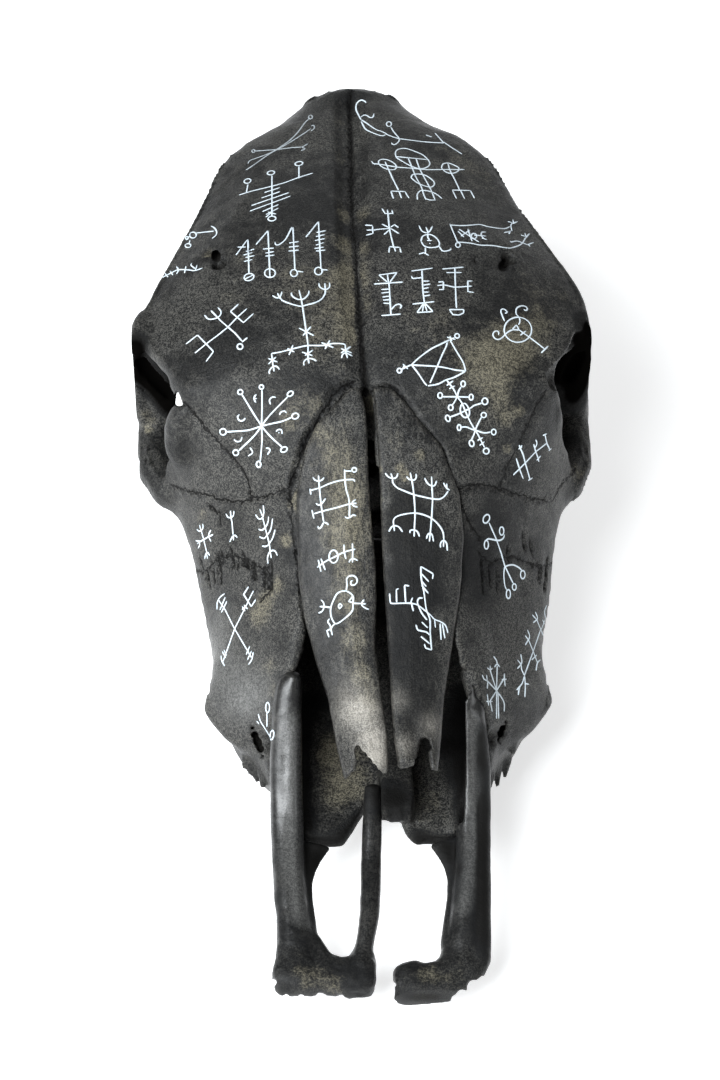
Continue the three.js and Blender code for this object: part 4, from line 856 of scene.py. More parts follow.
class Field:
    """Distances to a bone's surface in millimetres on a grid, negative inside the bone."""

    # How far from the surface distances are kept, and how far the grid goes beyond the solid.
    reach = 9.0
    margin = 5.0
    # How far from a crisp place the softening is held back, and where that has quite faded out.
    crisp_reach, crisp_end = 6.0, 13.0
    # How far from the surface, as a share of the broad softening, bone counts as thin and as thick.
    thin_bone, thick_bone = 0.25, 0.36
    # How far in front of the bone a punched hole starts.
    lead = 3.0

    def __init__(self, node, step):
        points, faces = node_surface(node)
        self.step = step
        low, high = points.min(0) - self.margin, points.max(0) + self.margin
        self.start = np.floor(low / step).astype(int)
        self.shape = tuple(np.ceil(high / step).astype(int) - self.start + 1)
        grid = openvdb.FloatGrid.createLevelSetFromPolygons(
            points, triangles=faces, transform=openvdb.createLinearTransform(step),
            halfWidth=self.reach / step)
        self.values = np.empty(self.shape, np.float32)
        grid.copyToArray(self.values, ijk=tuple(int(i) for i in self.start))

    def axis(self, k, part=slice(None)):
        return ((self.start[k] + np.arange(self.shape[k])) * self.step)[part].astype(np.float32)

    def window(self, low, high):
        """The part of the grid between two corners, and its places along each axis."""
        parts = []
        for k in range(3):
            first = int(math.floor(low[k] / self.step)) - self.start[k]
            last = int(math.ceil(high[k] / self.step)) - self.start[k] + 1
            parts.append(slice(max(first, 0), min(max(last, 0), self.shape[k])))
        return tuple(parts), np.ix_(*(self.axis(k, parts[k]) for k in range(3)))

    def sample(self, points, values=None):
        """Values at points in millimetres, weighted between the eight nearest grid places."""
        spots = np.asarray(points) / self.step - self.start
        spots = np.clip(spots, 0, np.array(self.shape) - 1.001)
        base = spots.astype(int)
        return between(self.values if values is None else values, base, spots - base)

    def blurred(self, size, values=None):
        values = self.values if values is None else values
        sigma = size / self.step
        reach = max(1, int(2.6 * sigma + 0.5))
        weights = np.exp(-0.5 * (np.arange(-reach, reach + 1) / sigma) ** 2)
        weights = (weights / weights.sum()).astype(np.float32)
        for k in range(3):
            pads = [(reach, reach) if a == k else (0, 0) for a in range(3)]
            padded = np.pad(values, pads, mode="edge")
            values = np.zeros(self.shape, np.float32)
            for i, weight in enumerate(weights):
                part = [slice(None)] * 3
                part[k] = slice(i, i + self.shape[k])
                values += weight * padded[tuple(part)]
        return values

    def soften(self, thin, broad=None, crisp=()):
        """Round off the facets: gently where the bone is thin or near a crisp place, else broadly."""
        soft = self.blurred(thin)
        if broad:
            wide = self.blurred(broad)
            inner = self.blurred(broad, np.maximum(-self.values, 0))
            outer = self.blurred(broad, np.maximum(self.values, 0))
            room = np.minimum(inner, outer) / broad
            share = smooth_step(self.thin_bone, self.thick_bone, room)
            for place in crisp:
                part, grids = self.window(place - self.crisp_end, place + self.crisp_end)
                far = sum((g - c) ** 2 for g, c in zip(grids, place)) / self.crisp_reach ** 2
                share[part] *= (1 - np.exp(-far)).astype(np.float32)
            soft = soft + share * (wide - soft)
        self.values = soft

    def capsules(self, path, radii, blend=0.0, fill=False):
        """Cut a channel along a path of points, or lay a ridge along it where fill is true."""
        path = np.asarray(path, float)
        radii = np.broadcast_to(radii, len(path)).astype(float)
        for (a, b), (ra, rb) in zip(zip(path[:-1], path[1:]), zip(radii[:-1], radii[1:])):
            pad = max(ra, rb) + 2 * self.step + blend
            part, grids = self.window(np.minimum(a, b) - pad, np.maximum(a, b) + pad)
            along = b - a
            length = float(along @ along) or 1e-9
            offset = [g - c for g, c in zip(grids, a)]
            t = np.clip(sum(o * d for o, d in zip(offset, along)) / length, 0, 1)
            gap = np.sqrt(sum((o - t * d) ** 2 for o, d in zip(offset, along)))
            shape = (gap - (ra + (rb - ra) * t)).astype(np.float32)
            old = self.values[part]
            if fill:
                self.values[part] = soft_min(old, shape, blend)
            else:
                self.values[part] = -soft_min(-old, shape, blend)

    def drill(self, place, way, radius, depth):
        """Cut a small hole that narrows inward."""
        self.capsules([place, place + way * depth], (radius, radius * 0.6), blend=0.8)

    def punch(self, view, rows, depth):
        """Cut holes straight away from the camera: each row has a place in the picture and a radius."""
        rows = np.asarray(rows, float)
        pixels = rows[:, :2]
        places = self.hit(view, pixels)
        found = places[~np.isnan(places[:, 0])]
        if len(found):
            places = np.where(np.isnan(places), view.level_with(found.mean(0), pixels), places)
            for place, way, radius in zip(places, view.rays(pixels), rows[:, 2]):
                self.capsules([place - self.lead * way, place + depth * way], radius)

    def shelf(self, view, path, aside, radius, depth, blend):
        """Lay a ridge along a path in the picture, level with the surface a little to one side."""
        levels = self.hit(view, path + aside)
        beds = [view.level_with(level, [spot])[0] if not np.isnan(level[0]) else level
                for level, spot in zip(levels, path)]
        for part in runs(np.array(beds), longest=14.0):
            self.capsules(part - depth * view.back, radius, blend, fill=True)

    def ovals(self, centre, radii, amount):
        """Swell the surface by amount near a centre, or sink it where amount is negative."""
        radii = np.broadcast_to(radii, 3).astype(float)
        part, grids = self.window(centre - 2.2 * radii, centre + 2.2 * radii)
        far = sum(((g - c) / r) ** 2 for g, c, r in zip(grids, centre, radii))
        self.values[part] -= (amount * np.exp(-far)).astype(np.float32)

    def spots(self, view, rows):
        """A table's rows with their places in the picture laid on the bone, but for those that miss it."""
        rows = np.asarray(rows, float)
        return [(place, *numbers) for place, numbers in zip(self.hit(view, rows[:, :2]), rows[:, 2:])
                if not np.isnan(place[0])]

    def hit(self, view, pixels):
        """Where rays through places in the picture meet the bone, in millimetres."""
        return self.meet(view.place * MM, view.rays(pixels))

    def meet(self, origin, ways):
        """Where rays meet the bone: nan where they miss it."""
        corners = np.array([self.start, self.start + np.array(self.shape) - 1]) * self.step
        span = np.linalg.norm(corners[1] - corners[0])
        near = np.linalg.norm(np.atleast_2d(origin) - corners.mean(0), axis=1).min() - span / 2
        stride = self.step * 0.6
        found = np.full(len(ways), np.nan)
        before = np.full(len(ways), self.reach)
        for s in np.arange(0, span, stride):
            spots = origin + ways * (near + s)
            inside = np.all((spots > corners[0]) & (spots < corners[1]), axis=1)
            now = np.where(inside, self.sample(spots), self.reach)
            crossed = np.isnan(found) & (now < 0)
            share = before / np.maximum(before - now, 1e-6)
            found[crossed] = (near + s - stride * (1 - share))[crossed]
            before = now
        return origin + ways * found[:, None]

    def mesh(self):
        """Points and triangles of the surface, as one closed piece."""
        grid = openvdb.FloatGrid(self.reach)
        grid.copyFromArray(self.values, ijk=tuple(int(i) for i in self.start), tolerance=0.0)
        grid.transform = openvdb.createLinearTransform(self.step)
        points, quads = grid.convertToQuads(0.0)
        faces = np.concatenate([quads[:, [0, 1, 2]], quads[:, [0, 2, 3]]]).astype(np.int64)
        points = points.astype(float)
        faces = largest_piece(len(points), faces)
        a, b, c = (points[faces[:, i]] for i in range(3))
        if np.einsum("ij,ij->i", a, np.cross(b, c)).sum() < 0:
            faces = faces[:, ::-1]
        return compact(points, faces)


def between(values, base, part):
    """Values of a grid, weighted from the places at base towards the next ones, past its end too."""
    total = np.zeros(len(base))
    for k, j, i in itertools.product((0, 1), repeat=3):
        corner = np.array([i, j, k])
        weight = np.prod(np.where(corner, part, 1 - part), axis=1)
        x, y, z = ((base + corner) % values.shape).T
        total += weight * values[x, y, z]
    return total


def kept_in_box(points):
    """Points in millimetres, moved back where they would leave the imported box."""
    low, high = (np.array(corner) * MM for corner in CAD_BOX)
    return np.clip(points, low + LOW_ROOM, high - HIGH_ROOM)


def smooth_step(low, high, values):
    t = np.clip((values - low) / (high - low), 0, 1)
    return t * t * (3 - 2 * t)


def soft_min(a, b, blend):
    """The lower of two distances, rounded where they are within a blend of each other."""
    if blend <= 0:
        return np.minimum(a, b)
    h = np.maximum(blend - np.abs(a - b), 0) / blend
    return np.minimum(a, b) - h * h * blend * 0.25


def mesh_arrays(mesh):
    """Points in millimetres and triangles of a mesh."""
    mesh.calc_loop_triangles()
    points = np.empty(len(mesh.vertices) * 3, np.float32)
    mesh.vertices.foreach_get("co", points)
    faces = np.empty(len(mesh.loop_triangles) * 3, np.int32)
    mesh.loop_triangles.foreach_get("vertices", faces)
    return points.reshape(-1, 3).astype(float) * MM, faces.reshape(-1, 3)


def node_surface(node):
    """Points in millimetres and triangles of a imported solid."""
    points, faces = mesh_arrays(frame["nodes"][node].data)
    return points.astype(np.float32), faces.astype(np.uint32)


def solid_hit(node, view, pixel):
    """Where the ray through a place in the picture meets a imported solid."""
    points, faces = node_surface(node)
    tree = BVHTree.FromPolygons(points.tolist(), faces.tolist(), all_triangles=True)
    return np.array(tree.ray_cast(Vector(view.place * MM), Vector(view.rays(pixel)[0]))[0])


def largest_piece(count, faces):
    """Only the faces of the largest connected piece."""
    label = np.arange(count)
    edges = np.concatenate([faces[:, [0, 1]], faces[:, [1, 2]]])
    while True:
        low = np.minimum(label[edges[:, 0]], label[edges[:, 1]])
        new = label.copy()
        np.minimum.at(new, edges[:, 0], low)
        np.minimum.at(new, edges[:, 1], low)
        new = new[new]
        if np.array_equal(new, label):
            break
        label = new
    names, counts = np.unique(label[faces[:, 0]], return_counts=True)
    return faces[label[faces[:, 0]] == names[counts.argmax()]]


def compact(points, faces):
    """Only the points that faces use."""
    used, places = np.unique(faces, return_inverse=True)
    return points[used], places.reshape(faces.shape)


def sideways(path):
    """The way square to a path in the picture at each of its places."""
    along = np.gradient(path, axis=0)
    side = np.column_stack([-along[:, 1], along[:, 0]])
    return side / np.linalg.norm(side, axis=1, keepdims=True)


def jagged(points, swing, seed, step=2.4):
    """A path that swings from side to side like the edge of a grown seam."""
    path = even(points, step)
    random = np.random.default_rng(seed)
    turns = np.where(np.arange(len(path)) % 2, 1, -1) * random.uniform(0.1, 1, len(path))
    return path + sideways(path) * (swing * turns)[:, None]


def runs(path, longest=7.0):
    """The parts of a path in space without misses or jumps."""
    broken = np.isnan(path[:, 0])
    leaps = np.linalg.norm(np.diff(np.nan_to_num(path, nan=1e6), axis=0), axis=1) > longest
    parts, start = [], 0
    for i in range(len(path)):
        if broken[i]:
            parts.append(path[start:i])
            start = i + 1
        elif i + 1 < len(path) and leaps[i]:
            parts.append(path[start:i + 1])
            start = i + 1
    parts.append(path[start:])
    return [part for part in parts if len(part) > 1]


def seam_layers(points, normals, paths, reach=4.0):
    """How far each point lies to one side of the nearest seam, and how far from it in all."""
    beside, near = np.full(len(points), reach), np.full(len(points), reach)
    for path in paths:
        inside = (points > path.min(0) - reach) & (points < path.max(0) + reach)
        picked = np.all(inside, axis=1).nonzero()[0]
        spots, facing = points[picked], normals[picked]
        best, side = np.full(len(picked), reach), np.full(len(picked), reach)
        for a, b in zip(path[:-1], path[1:]):
            along = (b - a) / max(np.linalg.norm(b - a), 1e-6)
            t = np.clip((spots - a) @ along, 0, np.linalg.norm(b - a))
            gap = spots - a - t[:, None] * along
            far = np.linalg.norm(gap, axis=1)
            closer = far < best
            side[closer] = np.einsum("ij,ij->i", gap, np.cross(along, facing))[closer]
            best[closer] = far[closer]
        closer = best < near[picked]
        near[picked[closer]] = best[closer]
        beside[picked[closer]] = side[closer]
    return beside, near


def vertex_normals(points, faces):
    a, b, c = (points[faces[:, i]] for i in range(3))
    across = np.cross(b - a, c - a)
    normals = np.zeros_like(points)
    for i in range(3):
        for k in range(3):
            normals[:, k] += np.bincount(faces[:, i], across[:, k], len(points))
    return normals / np.maximum(np.linalg.norm(normals, axis=1, keepdims=True), 1e-12)


class Noise:
    """Smooth random values that repeat only far apart, the same on every run."""

    def __init__(self, seed):
        self.table = np.random.default_rng(seed).uniform(-1, 1, (32, 32, 32))

    def at(self, points, size, layers=2, stretch=(1, 1, 1)):
        total, weight = np.zeros(len(points)), 1.0
        for layer in range(layers):
            spots = np.asarray(points) / (np.array(stretch) * size / 2 ** layer) + 7.3 * layer
            base = np.floor(spots).astype(int)
            part = spots - base
            total += between(self.table, base, part * part * (3 - 2 * part)) * weight
            weight *= 0.5
        return total


def new_piece(name, points, faces):
    """A mesh object from points in millimetres."""
    mesh = bpy.data.meshes.new(name)
    mesh.vertices.add(len(points))
    mesh.vertices.foreach_set("co", (points / MM).astype(np.float32).ravel())
    mesh.loops.add(len(faces) * 3)
    mesh.loops.foreach_set("vertex_index", faces.astype(np.int32).ravel())
    mesh.polygons.add(len(faces))
    mesh.polygons.foreach_set("loop_start", np.arange(0, len(faces) * 3, 3, dtype=np.int32))
    mesh.update()
    mesh.validate()
    mesh.shade_smooth()
    return placed(name, mesh)


def placed(name, data):
    """An object in the scene that shows a mesh, a lamp or a lens."""
    thing = bpy.data.objects.new(name, data)
    bpy.context.scene.collection.objects.link(thing)
    return thing


def thinned(piece, target):
    """Lower the triangle count to target, keeping curved places fine."""
    count = len(piece.data.polygons)
    if count > target:
        thin = piece.modifiers.new("thin", "DECIMATE")
        thin.ratio = target / count
        bpy.context.view_layer.update()
        shown = piece.evaluated_get(bpy.context.evaluated_depsgraph_get())
        mesh = bpy.data.meshes.new_from_object(shown)
        piece.modifiers.clear()
        old = piece.data
        piece.data = mesh
        bpy.data.meshes.remove(old)
        piece.data.shade_smooth()
    return piece


def give(piece, name, values):
    """Store one number at each vertex for the material to read."""
    layer = piece.data.attributes.new(name, "FLOAT", "POINT")
    layer.data.foreach_set("value", np.asarray(values, np.float32))


class Socket:
    """A shader value that adds Math nodes when it is used in an expression."""

    def __init__(self, finish, link):
        self.finish, self.link = finish, link

    def math(self, operation, *values):
        return self.finish.add("ShaderNodeMath", {"operation": operation}, dict(enumerate(values)))

    def __add__(self, other):
        return self.math("ADD", self, other)

    def __sub__(self, other):
        return self.math("SUBTRACT", self, other)

    def __rsub__(self, other):
        return self.math("SUBTRACT", other, self)

    def __mul__(self, other):
        return self.math("MULTIPLY", self, other)

    def __abs__(self):
        return self.math("ABSOLUTE", self)

    def larger(self, other):
        return self.math("MAXIMUM", self, other)

    def step(self, low, high, bottom=0.0, top=1.0):
        """Rises smoothly from bottom at low to top at high."""
        sockets = {"Value": self, "From Min": low, "From Max": high, "To Min": bottom, "To Max": top}
        return self.finish.add("ShaderNodeMapRange", {"interpolation_type": "SMOOTHSTEP"}, sockets)

    def fall(self, low, high):
        """Falls smoothly from one at low to nothing at high."""
        return self.step(low, high, 1.0, 0.0)

    __radd__ = __add__
    __rmul__ = __mul__


class Finish:
    """A material under construction."""

    def __init__(self, name):
        self.material = bpy.data.materials.new(name)
        self.material.use_nodes = True
        self.nodes = self.material.node_tree.nodes
        self.shader = self.nodes["Principled BSDF"]

    def add(self, kind, settings=None, sockets=None, output=0):
        """Add a node: its type, its settings, then the values or links of its sockets."""
        node = self.nodes.new(kind)
        for name, value in (settings or {}).items():
            setattr(node, name, value)
        self.fill(node, sockets or {})
        return Socket(self, node.outputs[output])

    def fill(self, node, sockets):
        for name, value in sockets.items():
            if isinstance(value, Socket):
                self.material.node_tree.links.new(value.link, node.inputs[name])
            else:
                node.inputs[name].default_value = value

    def cover(self, share, shade):
        """Lay a matt colour over the shader by its share, as a painted black shadow."""
        matt = self.add("ShaderNodeBsdfDiffuse", None, {"Color": colour(shade), "Roughness": 0.5})
        highlight_tone = Socket(self, self.shader.outputs[0])
        mixed = self.add("ShaderNodeMixShader", None, {0: share, 1: highlight_tone, 2: matt})
        self.fill(self.nodes["Material Output"], {"Surface": mixed})

    def place(self):
        return self.add("ShaderNodeTexCoord", output="Object")

    def stretched(self, scale):
        return self.add("ShaderNodeMapping", None, {"Vector": self.place(), "Scale": scale})

    def noise(self, scale, detail=2.0, rough=0.5, where=None):
        sockets = {"Vector": where or self.place(), "Scale": scale, "Detail": detail, "Roughness": rough}
        return self.add("ShaderNodeTexNoise", None, sockets)

    def pores(self, scale):
        sockets = {"Vector": self.place(), "Scale": scale}
        return self.add("ShaderNodeTexVoronoi", {"feature": "F1"}, sockets, "Distance")

    def attribute(self, name):
        return self.add("ShaderNodeAttribute", {"attribute_name": name}, output="Fac")

    def mix(self, share, first, second):
        return self.add("ShaderNodeMix", {"data_type": "RGBA"},
                        {0: share, 6: colour(first), 7: colour(second)}, 2)

    def bump(self, height, distance, strength):
        sockets = {"Height": height, "Distance": distance, "Strength": strength}
        return self.add("ShaderNodeBump", None, sockets)


def colour(value):
    return value if isinstance(value, Socket) else (*value[:3], 1.0)


def bone_finish(name, settings, rough=0.44, gloss=0.2, coat=0.12, streak=(1, 1, 1), fine=1.0,
                highlight_tone=(0.15, 0.15, 0.145)):
    """Black pigment over bone: worn to brown in places, black in the seams, darker in hollows, with painted
    shade and painted highlights in its colour.
    """
    finish = Finish(name)
    wear_and_shade, polish_and_highlight, hollow, beside, near = map(finish.attribute, LAYERS)
    along = finish.stretched(streak)
    clouds = finish.noise(26.0, 4.0, 0.6)
    mottle = finish.noise(130.0, 6.0, 0.68, along)
    grain = finish.noise(760.0, 4.0, 0.7, along)
    speck = finish.noise(1700.0, 2.0, 0.6)
    wander = finish.noise(430.0, 3.0, 0.6)
    pits = finish.pores(360.0)

    # Where the bone is cracked or worn, where shade is painted on it, where it is flecked, dusty on its
    # edges and darker in its hollows.
    crack = abs(beside + (wander - 0.5) * 4.6).fall(0.12, 0.62) * near.fall(1.0, 2.4)
    rough_zone = near.fall(0.6, 4.0) * pits.fall(0.12, 0.42)
    worn = (wear_and_shade + (clouds - 0.5) * 0.8 + (mottle - 0.5) * 1.1 + (grain - 0.5) * 0.7).step(0.18, 0.95)
    # Painted shade where the wear and shade table is negative, with darker bone along the seams; painted
    # black shade further down.
    shade_and_seam_dark = wear_and_shade.fall(-1.0, -0.05)
    black_shade = wear_and_shade.fall(-1.9, -1.0)
    fleck = (speck * 0.6 + grain * 0.4).step(0.43, 0.60)
    patch = (clouds * 0.6 + mottle * 0.4).step(0.40, 0.58)
    # Darker in hollows, and at random with the mottle; also rougher and less glossy there.
    hollow_darkening = ((mottle - 0.5) * 0.8 - hollow).step(0.3, 1.8)
    edge = (hollow + (mottle - 0.5) * 1.4).step(0.8, 2.2)
    greyed = fleck * (patch * 0.8 + 0.2) * (1.0 - shade_and_seam_dark * 0.85) * fine

    # Each colour over the ones before it.
    shade = finish.mix(greyed, settings.pigment, settings.faded)
    shade = finish.mix(worn * (fleck * 0.8 + 0.2), shade, settings.worn)
    # A painted highlight: the colour lightens where the polish blots are.
    shade = finish.mix(polish_and_highlight * (fleck * 0.4 + 0.35), shade, highlight_tone)
    shade = finish.mix(edge * fleck * 0.35 * fine, shade, EDGE_DUST)
    # Darker in hollows.
    shade = finish.mix(hollow_darkening * 0.7, shade, HOLLOW_DARK)
    # Black in the seams and pits, and painted black shade where the wear and shade table is far below
    # nought.
    shade = finish.mix(crack.larger(rough_zone * 0.8).larger(black_shade), shade, SEAM_AND_SHADE_BLACK)

    roughness = ((grain - 0.5) * 0.5 + (clouds - 0.5) * 0.3 + rough + crack * 0.3 + hollow_darkening * 0.3
                 + shade_and_seam_dark * 0.25 - polish_and_highlight * 0.18)
    height = (grain * 0.7 + mottle * 0.8 + pits.step(0.0, 0.35) * 0.1 + speck * 0.3
              - crack * 1.6 - rough_zone * 0.9)
    sheen = (1.0 - shade_and_seam_dark) * (1.0 - hollow_darkening * 0.7) * (mottle.step(0.35, 0.6) * 0.6 + 0.4)
    finish.fill(finish.shader, {
        "Base Color": shade, "Roughness": roughness, "Normal": finish.bump(height, 0.0009, 0.8 * fine),
        "Coat Weight": sheen * polish_and_highlight.step(-1.0, -0.1) * coat, "Coat Roughness": rough - 0.04,
        "Specular IOR Level": gloss})
    # A matt black sheet over the most darkened places: painted shadow under the brows, in the eye sockets
    # and beside the incisive bones.
    finish.cover(wear_and_shade.fall(-4.6, -1.9), MATT_SHADE_BLACK)
    return finish.material


def paint_finish(settings):
    """White paint from a pen: thin in places, and greyed where it has faded."""
    finish = Finish("white_paint")
    faded = finish.attribute("faded")
    grain = finish.noise(900.0, 4.0, 0.7)
    patch = finish.noise(240.0, 3.0, 0.6)
    thin = (faded + (grain - 0.5) * 0.5 + (patch - 0.5) * 0.35).step(0.05, 1.0)
    finish.fill(finish.shader, {
        "Base Color": finish.mix(thin, settings.white, FADED_PAINT),
        "Roughness": 0.5 + (grain - 0.5) * 0.3,
        "Normal": finish.bump(grain + patch, 0.00012, 0.6), "Specular IOR Level": 0.35})
    return finish.material


def carry(piece, node, material):
    """Put a finished bone on the frame in place of its solid."""
    piece.data.materials.clear()
    piece.data.materials.append(material)
    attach(piece, "root")
    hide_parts(node)


def facing_hits(field, face, places):
    """Where places on the flat that a face looks at lie on the bone."""
    face, outside = np.array(face, float), 300
    start = np.zeros((len(places), 3))
    start[:, face == 0] = places
    return field.meet(start + outside * face, np.tile(-face, (len(places), 1)))


def hit_paths(field, view, paths):
    """Each path of places in the picture, laid on the bone."""
    paths = [pairs(path) for path in paths]
    ends = np.cumsum([len(path) for path in paths])[:-1]
    return np.split(field.hit(view, np.vstack(paths)), ends)


def marked(table, name, field, view, points):
    """The sum of a table's soft blots on a bone."""
    total = np.zeros(len(points))
    if name in table:
        for place, radius, amount in field.spots(view, table[name]):
            far = ((points - place) ** 2).sum(1) / (radius * BLOT_SCALE) ** 2
            total += amount * np.exp(-far)
    return total


def dress(piece, name, field, view, seams):
    """What the material reads at each vertex: wear and painted shade, polish and painted highlight, hollows
    and the nearest seam.
    """
    points, faces = mesh_arrays(piece.data)
    layers = (marked(WEAR_AND_SHADE, name, field, view, points), marked(POLISH_AND_HIGHLIGHT, name, field, view, points),
              field.sample(points, field.blurred(HOLLOW_REACH)),
              *seam_layers(points, vertex_normals(points, faces), seams))
    for layer, values in zip(LAYERS, layers):
        give(piece, layer, values)


def finished_bone(field, view, name, node, material, triangles, relief=None, seams=()):
    """Mesh a carved bone, roughen it by its relief, and put it on the frame."""
    points, faces = field.mesh()
    if relief:
        normals = vertex_normals(points, faces)
        points = points + normals * relief(points, normals)[:, None]
    piece = thinned(new_piece(name, kept_in_box(points), faces), triangles)
    dress(piece, name, field, view, seams)
    carry(piece, node, material)


def shape_cranium(field, view):
    """Swellings, the forehead's groove, the rims and sockets of the eyes, and the borders of the seams."""
    for place, radius, rise in field.spots(view, SWELLINGS):
        field.ovals(place, radius, rise)
    out, radius = GROOVE
    for part in runs(field.hit(view, even(pairs(SEAMS[0][2]), 8)), longest=12.0):
        field.capsules(part + out * view.back, radius, blend=1.5)
    for numbers, aside, radius, depth, blend in RIMS:
        field.shelf(view, even(pairs(numbers), 4), aside, radius, depth, blend)
    for numbers, radius, depth in ORBIT_CUTS:
        for part in runs(field.hit(view, even(pairs(numbers), 4)), longest=12.0):
            field.capsules(part - depth * view.back, radius, blend=1.0)
    field.punch(view, CORNER_GAP, depth=68)
    for side, numbers in BORDERS:
        path = even(pairs(numbers), 5)
        out = side * sideways(path)
        field.shelf(view, path + 2 * out, aside=7 * out, radius=3.0, depth=3.5, blend=1.5)


def break_edges(field, view):
    """The broken plate and palate, the plug and bed of the nasal bones, and the cheeks' torn points."""
    field.punch(view, VOMER_END, depth=12)
    field.shelf(view, even(pairs(PALATE_END), 4), aside=(9, -5), radius=2.2, depth=2.4, blend=1.5)
    level, ends, radius = NASAL_PLUG
    for (place,) in field.spots(view, [level]):
        field.capsules(view.level_with(place, ends) - 3 * view.back, radius, fill=True)
    for x, y, x_end, y_end, radius in POINTS:
        for (start,) in field.spots(view, [(x, y)]):
            end = view.level_with(start, [(x_end, y_end)])[0]
            tip = end - 2 * view.back
            field.capsules([start - radius * view.back, tip], (radius, 1.1), blend=1.5, fill=True)
    for (place,) in field.spots(view, even(pairs(NASAL_BED), 3)):
        field.capsules([place, place - 4 * view.back], 2.2, blend=1.0)


def open_seams(field, view):
    """Cut the seams and gouges. Returns their paths."""
    mains = [smoothed(pairs(numbers)) for _, _, numbers in SEAMS]
    swung = [jagged(main, SEAMS[number][1], 40 + number) for number, main in enumerate(mains)]
    for (radius, _, _), path in zip(SEAMS, hit_paths(field, view, swung)):
        for part in runs(path):
            widths = radius * (0.75 + 0.5 * np.random.default_rng(len(part)).random(len(part)))
            field.capsules(part, widths, blend=0.5)
    mains = hit_paths(field, view, [even(main, 4.0) for main in mains])
    seams = [part for path in mains for part in runs(path, longest=12.0)]
    for path, gouge in zip(hit_paths(field, view, [gouge[:4] for gouge in GOUGES]), GOUGES):
        if not np.isnan(path).any():
            field.capsules(path, gouge[4] * 1.35, blend=0.4)
            seams.append(path)
    for number, (face, radius, swing, numbers) in enumerate(HIDDEN_SEAMS):
        path = jagged(smoothed(pairs(numbers)), swing, 80 + number)
        for part in runs(facing_hits(field, face, path)):
            field.capsules(part, radius, blend=0.5)
            seams.append(part[::2])
    return seams


def open_holes(field, view):
    """Cut the holes where vessels and nerves left the bone."""
    for face, flat_place, radius, depth in HIDDEN_HOLES:
        place = facing_hits(field, face, [flat_place])[0]
        if not np.isnan(place[0]):
            field.drill(place, -np.array(face), radius, depth)
    for canal in CANALS:
        field.punch(view, canal, depth=9)
    for place, radius, depth in field.spots(view, FORAMINA):
        field.drill(place, -view.back + np.array([0, 0.6, 0]), radius, depth)


class SKULL_OT_cranium(bpy.types.Operator):
    """Carve the grown-together bone of the head."""
    bl_idname = "skull.cranium"
    bl_label = "Cranium"

    def execute(self, context):
        settings = context.scene.skull_bone
        view = View(context.scene.skull_stage)
        field = Field("skull", settings.grain_step * (1.0))
        crisp = np.vstack(hit_paths(field, view, [even(pairs(path), 9) for path in CRISP]))
        field.soften(thin=1.2, broad=3.8, crisp=crisp[~np.isnan(crisp[:, 0])])
        shape_cranium(field, view)
        break_edges(field, view)
        seams = open_seams(field, view)
        open_holes(field, view)
        noise = Noise(11)

        def relief(points, normals):
            shown = smooth_step(-0.35, 0.1, normals @ view.back)
            nape = smooth_step(0.3, 0.8, normals[:, 1]) * smooth_step(60, 90, points[:, 2])
            lift = 0.35 * noise.at(points, 24) + (0.08 + 0.12 * shown) * noise.at(points, 5)
            return lift + 0.3 * nape * noise.at(points, 7, stretch=(1, 1, 2))

        material = bone_finish("blackened_bone", settings)
        finished_bone(field, view, "cranium_bone", "skull", material,
                      CRANIUM_TRIANGLES, relief, seams)
        return {"FINISHED"}


def carve_nasal(field):
    """Thicken a nasal bone, by so many millimetres."""
    thicker = 0.4
    field.soften(thin=0.8)
    field.values -= thicker


def carve_incisive(field):
    """Round an incisive bone's pad and swell its front, fading out along it, in millimetres."""
    rounding, rounded, square = 2.2, 22, 46
    swelling, swollen, slim = 1.3, 14, 24
    field.soften(thin=0.8)
    inward = (field.axis(1) - field.axis(1)[0])[None, :, None]
    field.values += smooth_step(square, rounded, inward) * (field.blurred(rounding) - field.values)
    field.values -= swelling * smooth_step(slim, swollen, inward)


def carve_details(field, node, view):
    """Raise, shave, chip and dent one of the small bones."""
    for numbers, aside, radius, depth in RIDGES.get(node, ()):
        field.shelf(view, even(pairs(numbers), 5), aside, radius, depth, blend=3.0)
    if node in ROD_TOPS:
        spot, numbers, radii, depth = ROD_TOPS[node]
        top = view.level_with(solid_hit("skull", view, spot), pairs(numbers))
        field.capsules(top - depth * view.back, radii, blend=3.0, fill=True)
    if node in SHAVED:
        numbers, ends, middle = SHAVED[node]
        path = even(pairs(numbers), 2.5)
        shape = np.sin(np.linspace(0, math.pi, len(path))) ** 0.5
        field.punch(view, np.column_stack([path, ends + (middle - ends) * shape]), depth=14)
    if node in CHIPPED:
        field.punch(view, CHIPPED[node], depth=16)
    if node in NOTCHES:
        field.punch(view, NOTCHES[node], depth=22)
    if node in DENTS:
        for (place,) in field.spots(view, DENTS[node]):
            field.ovals(place, radii=(4.5, 6, 5), amount=-1.3)


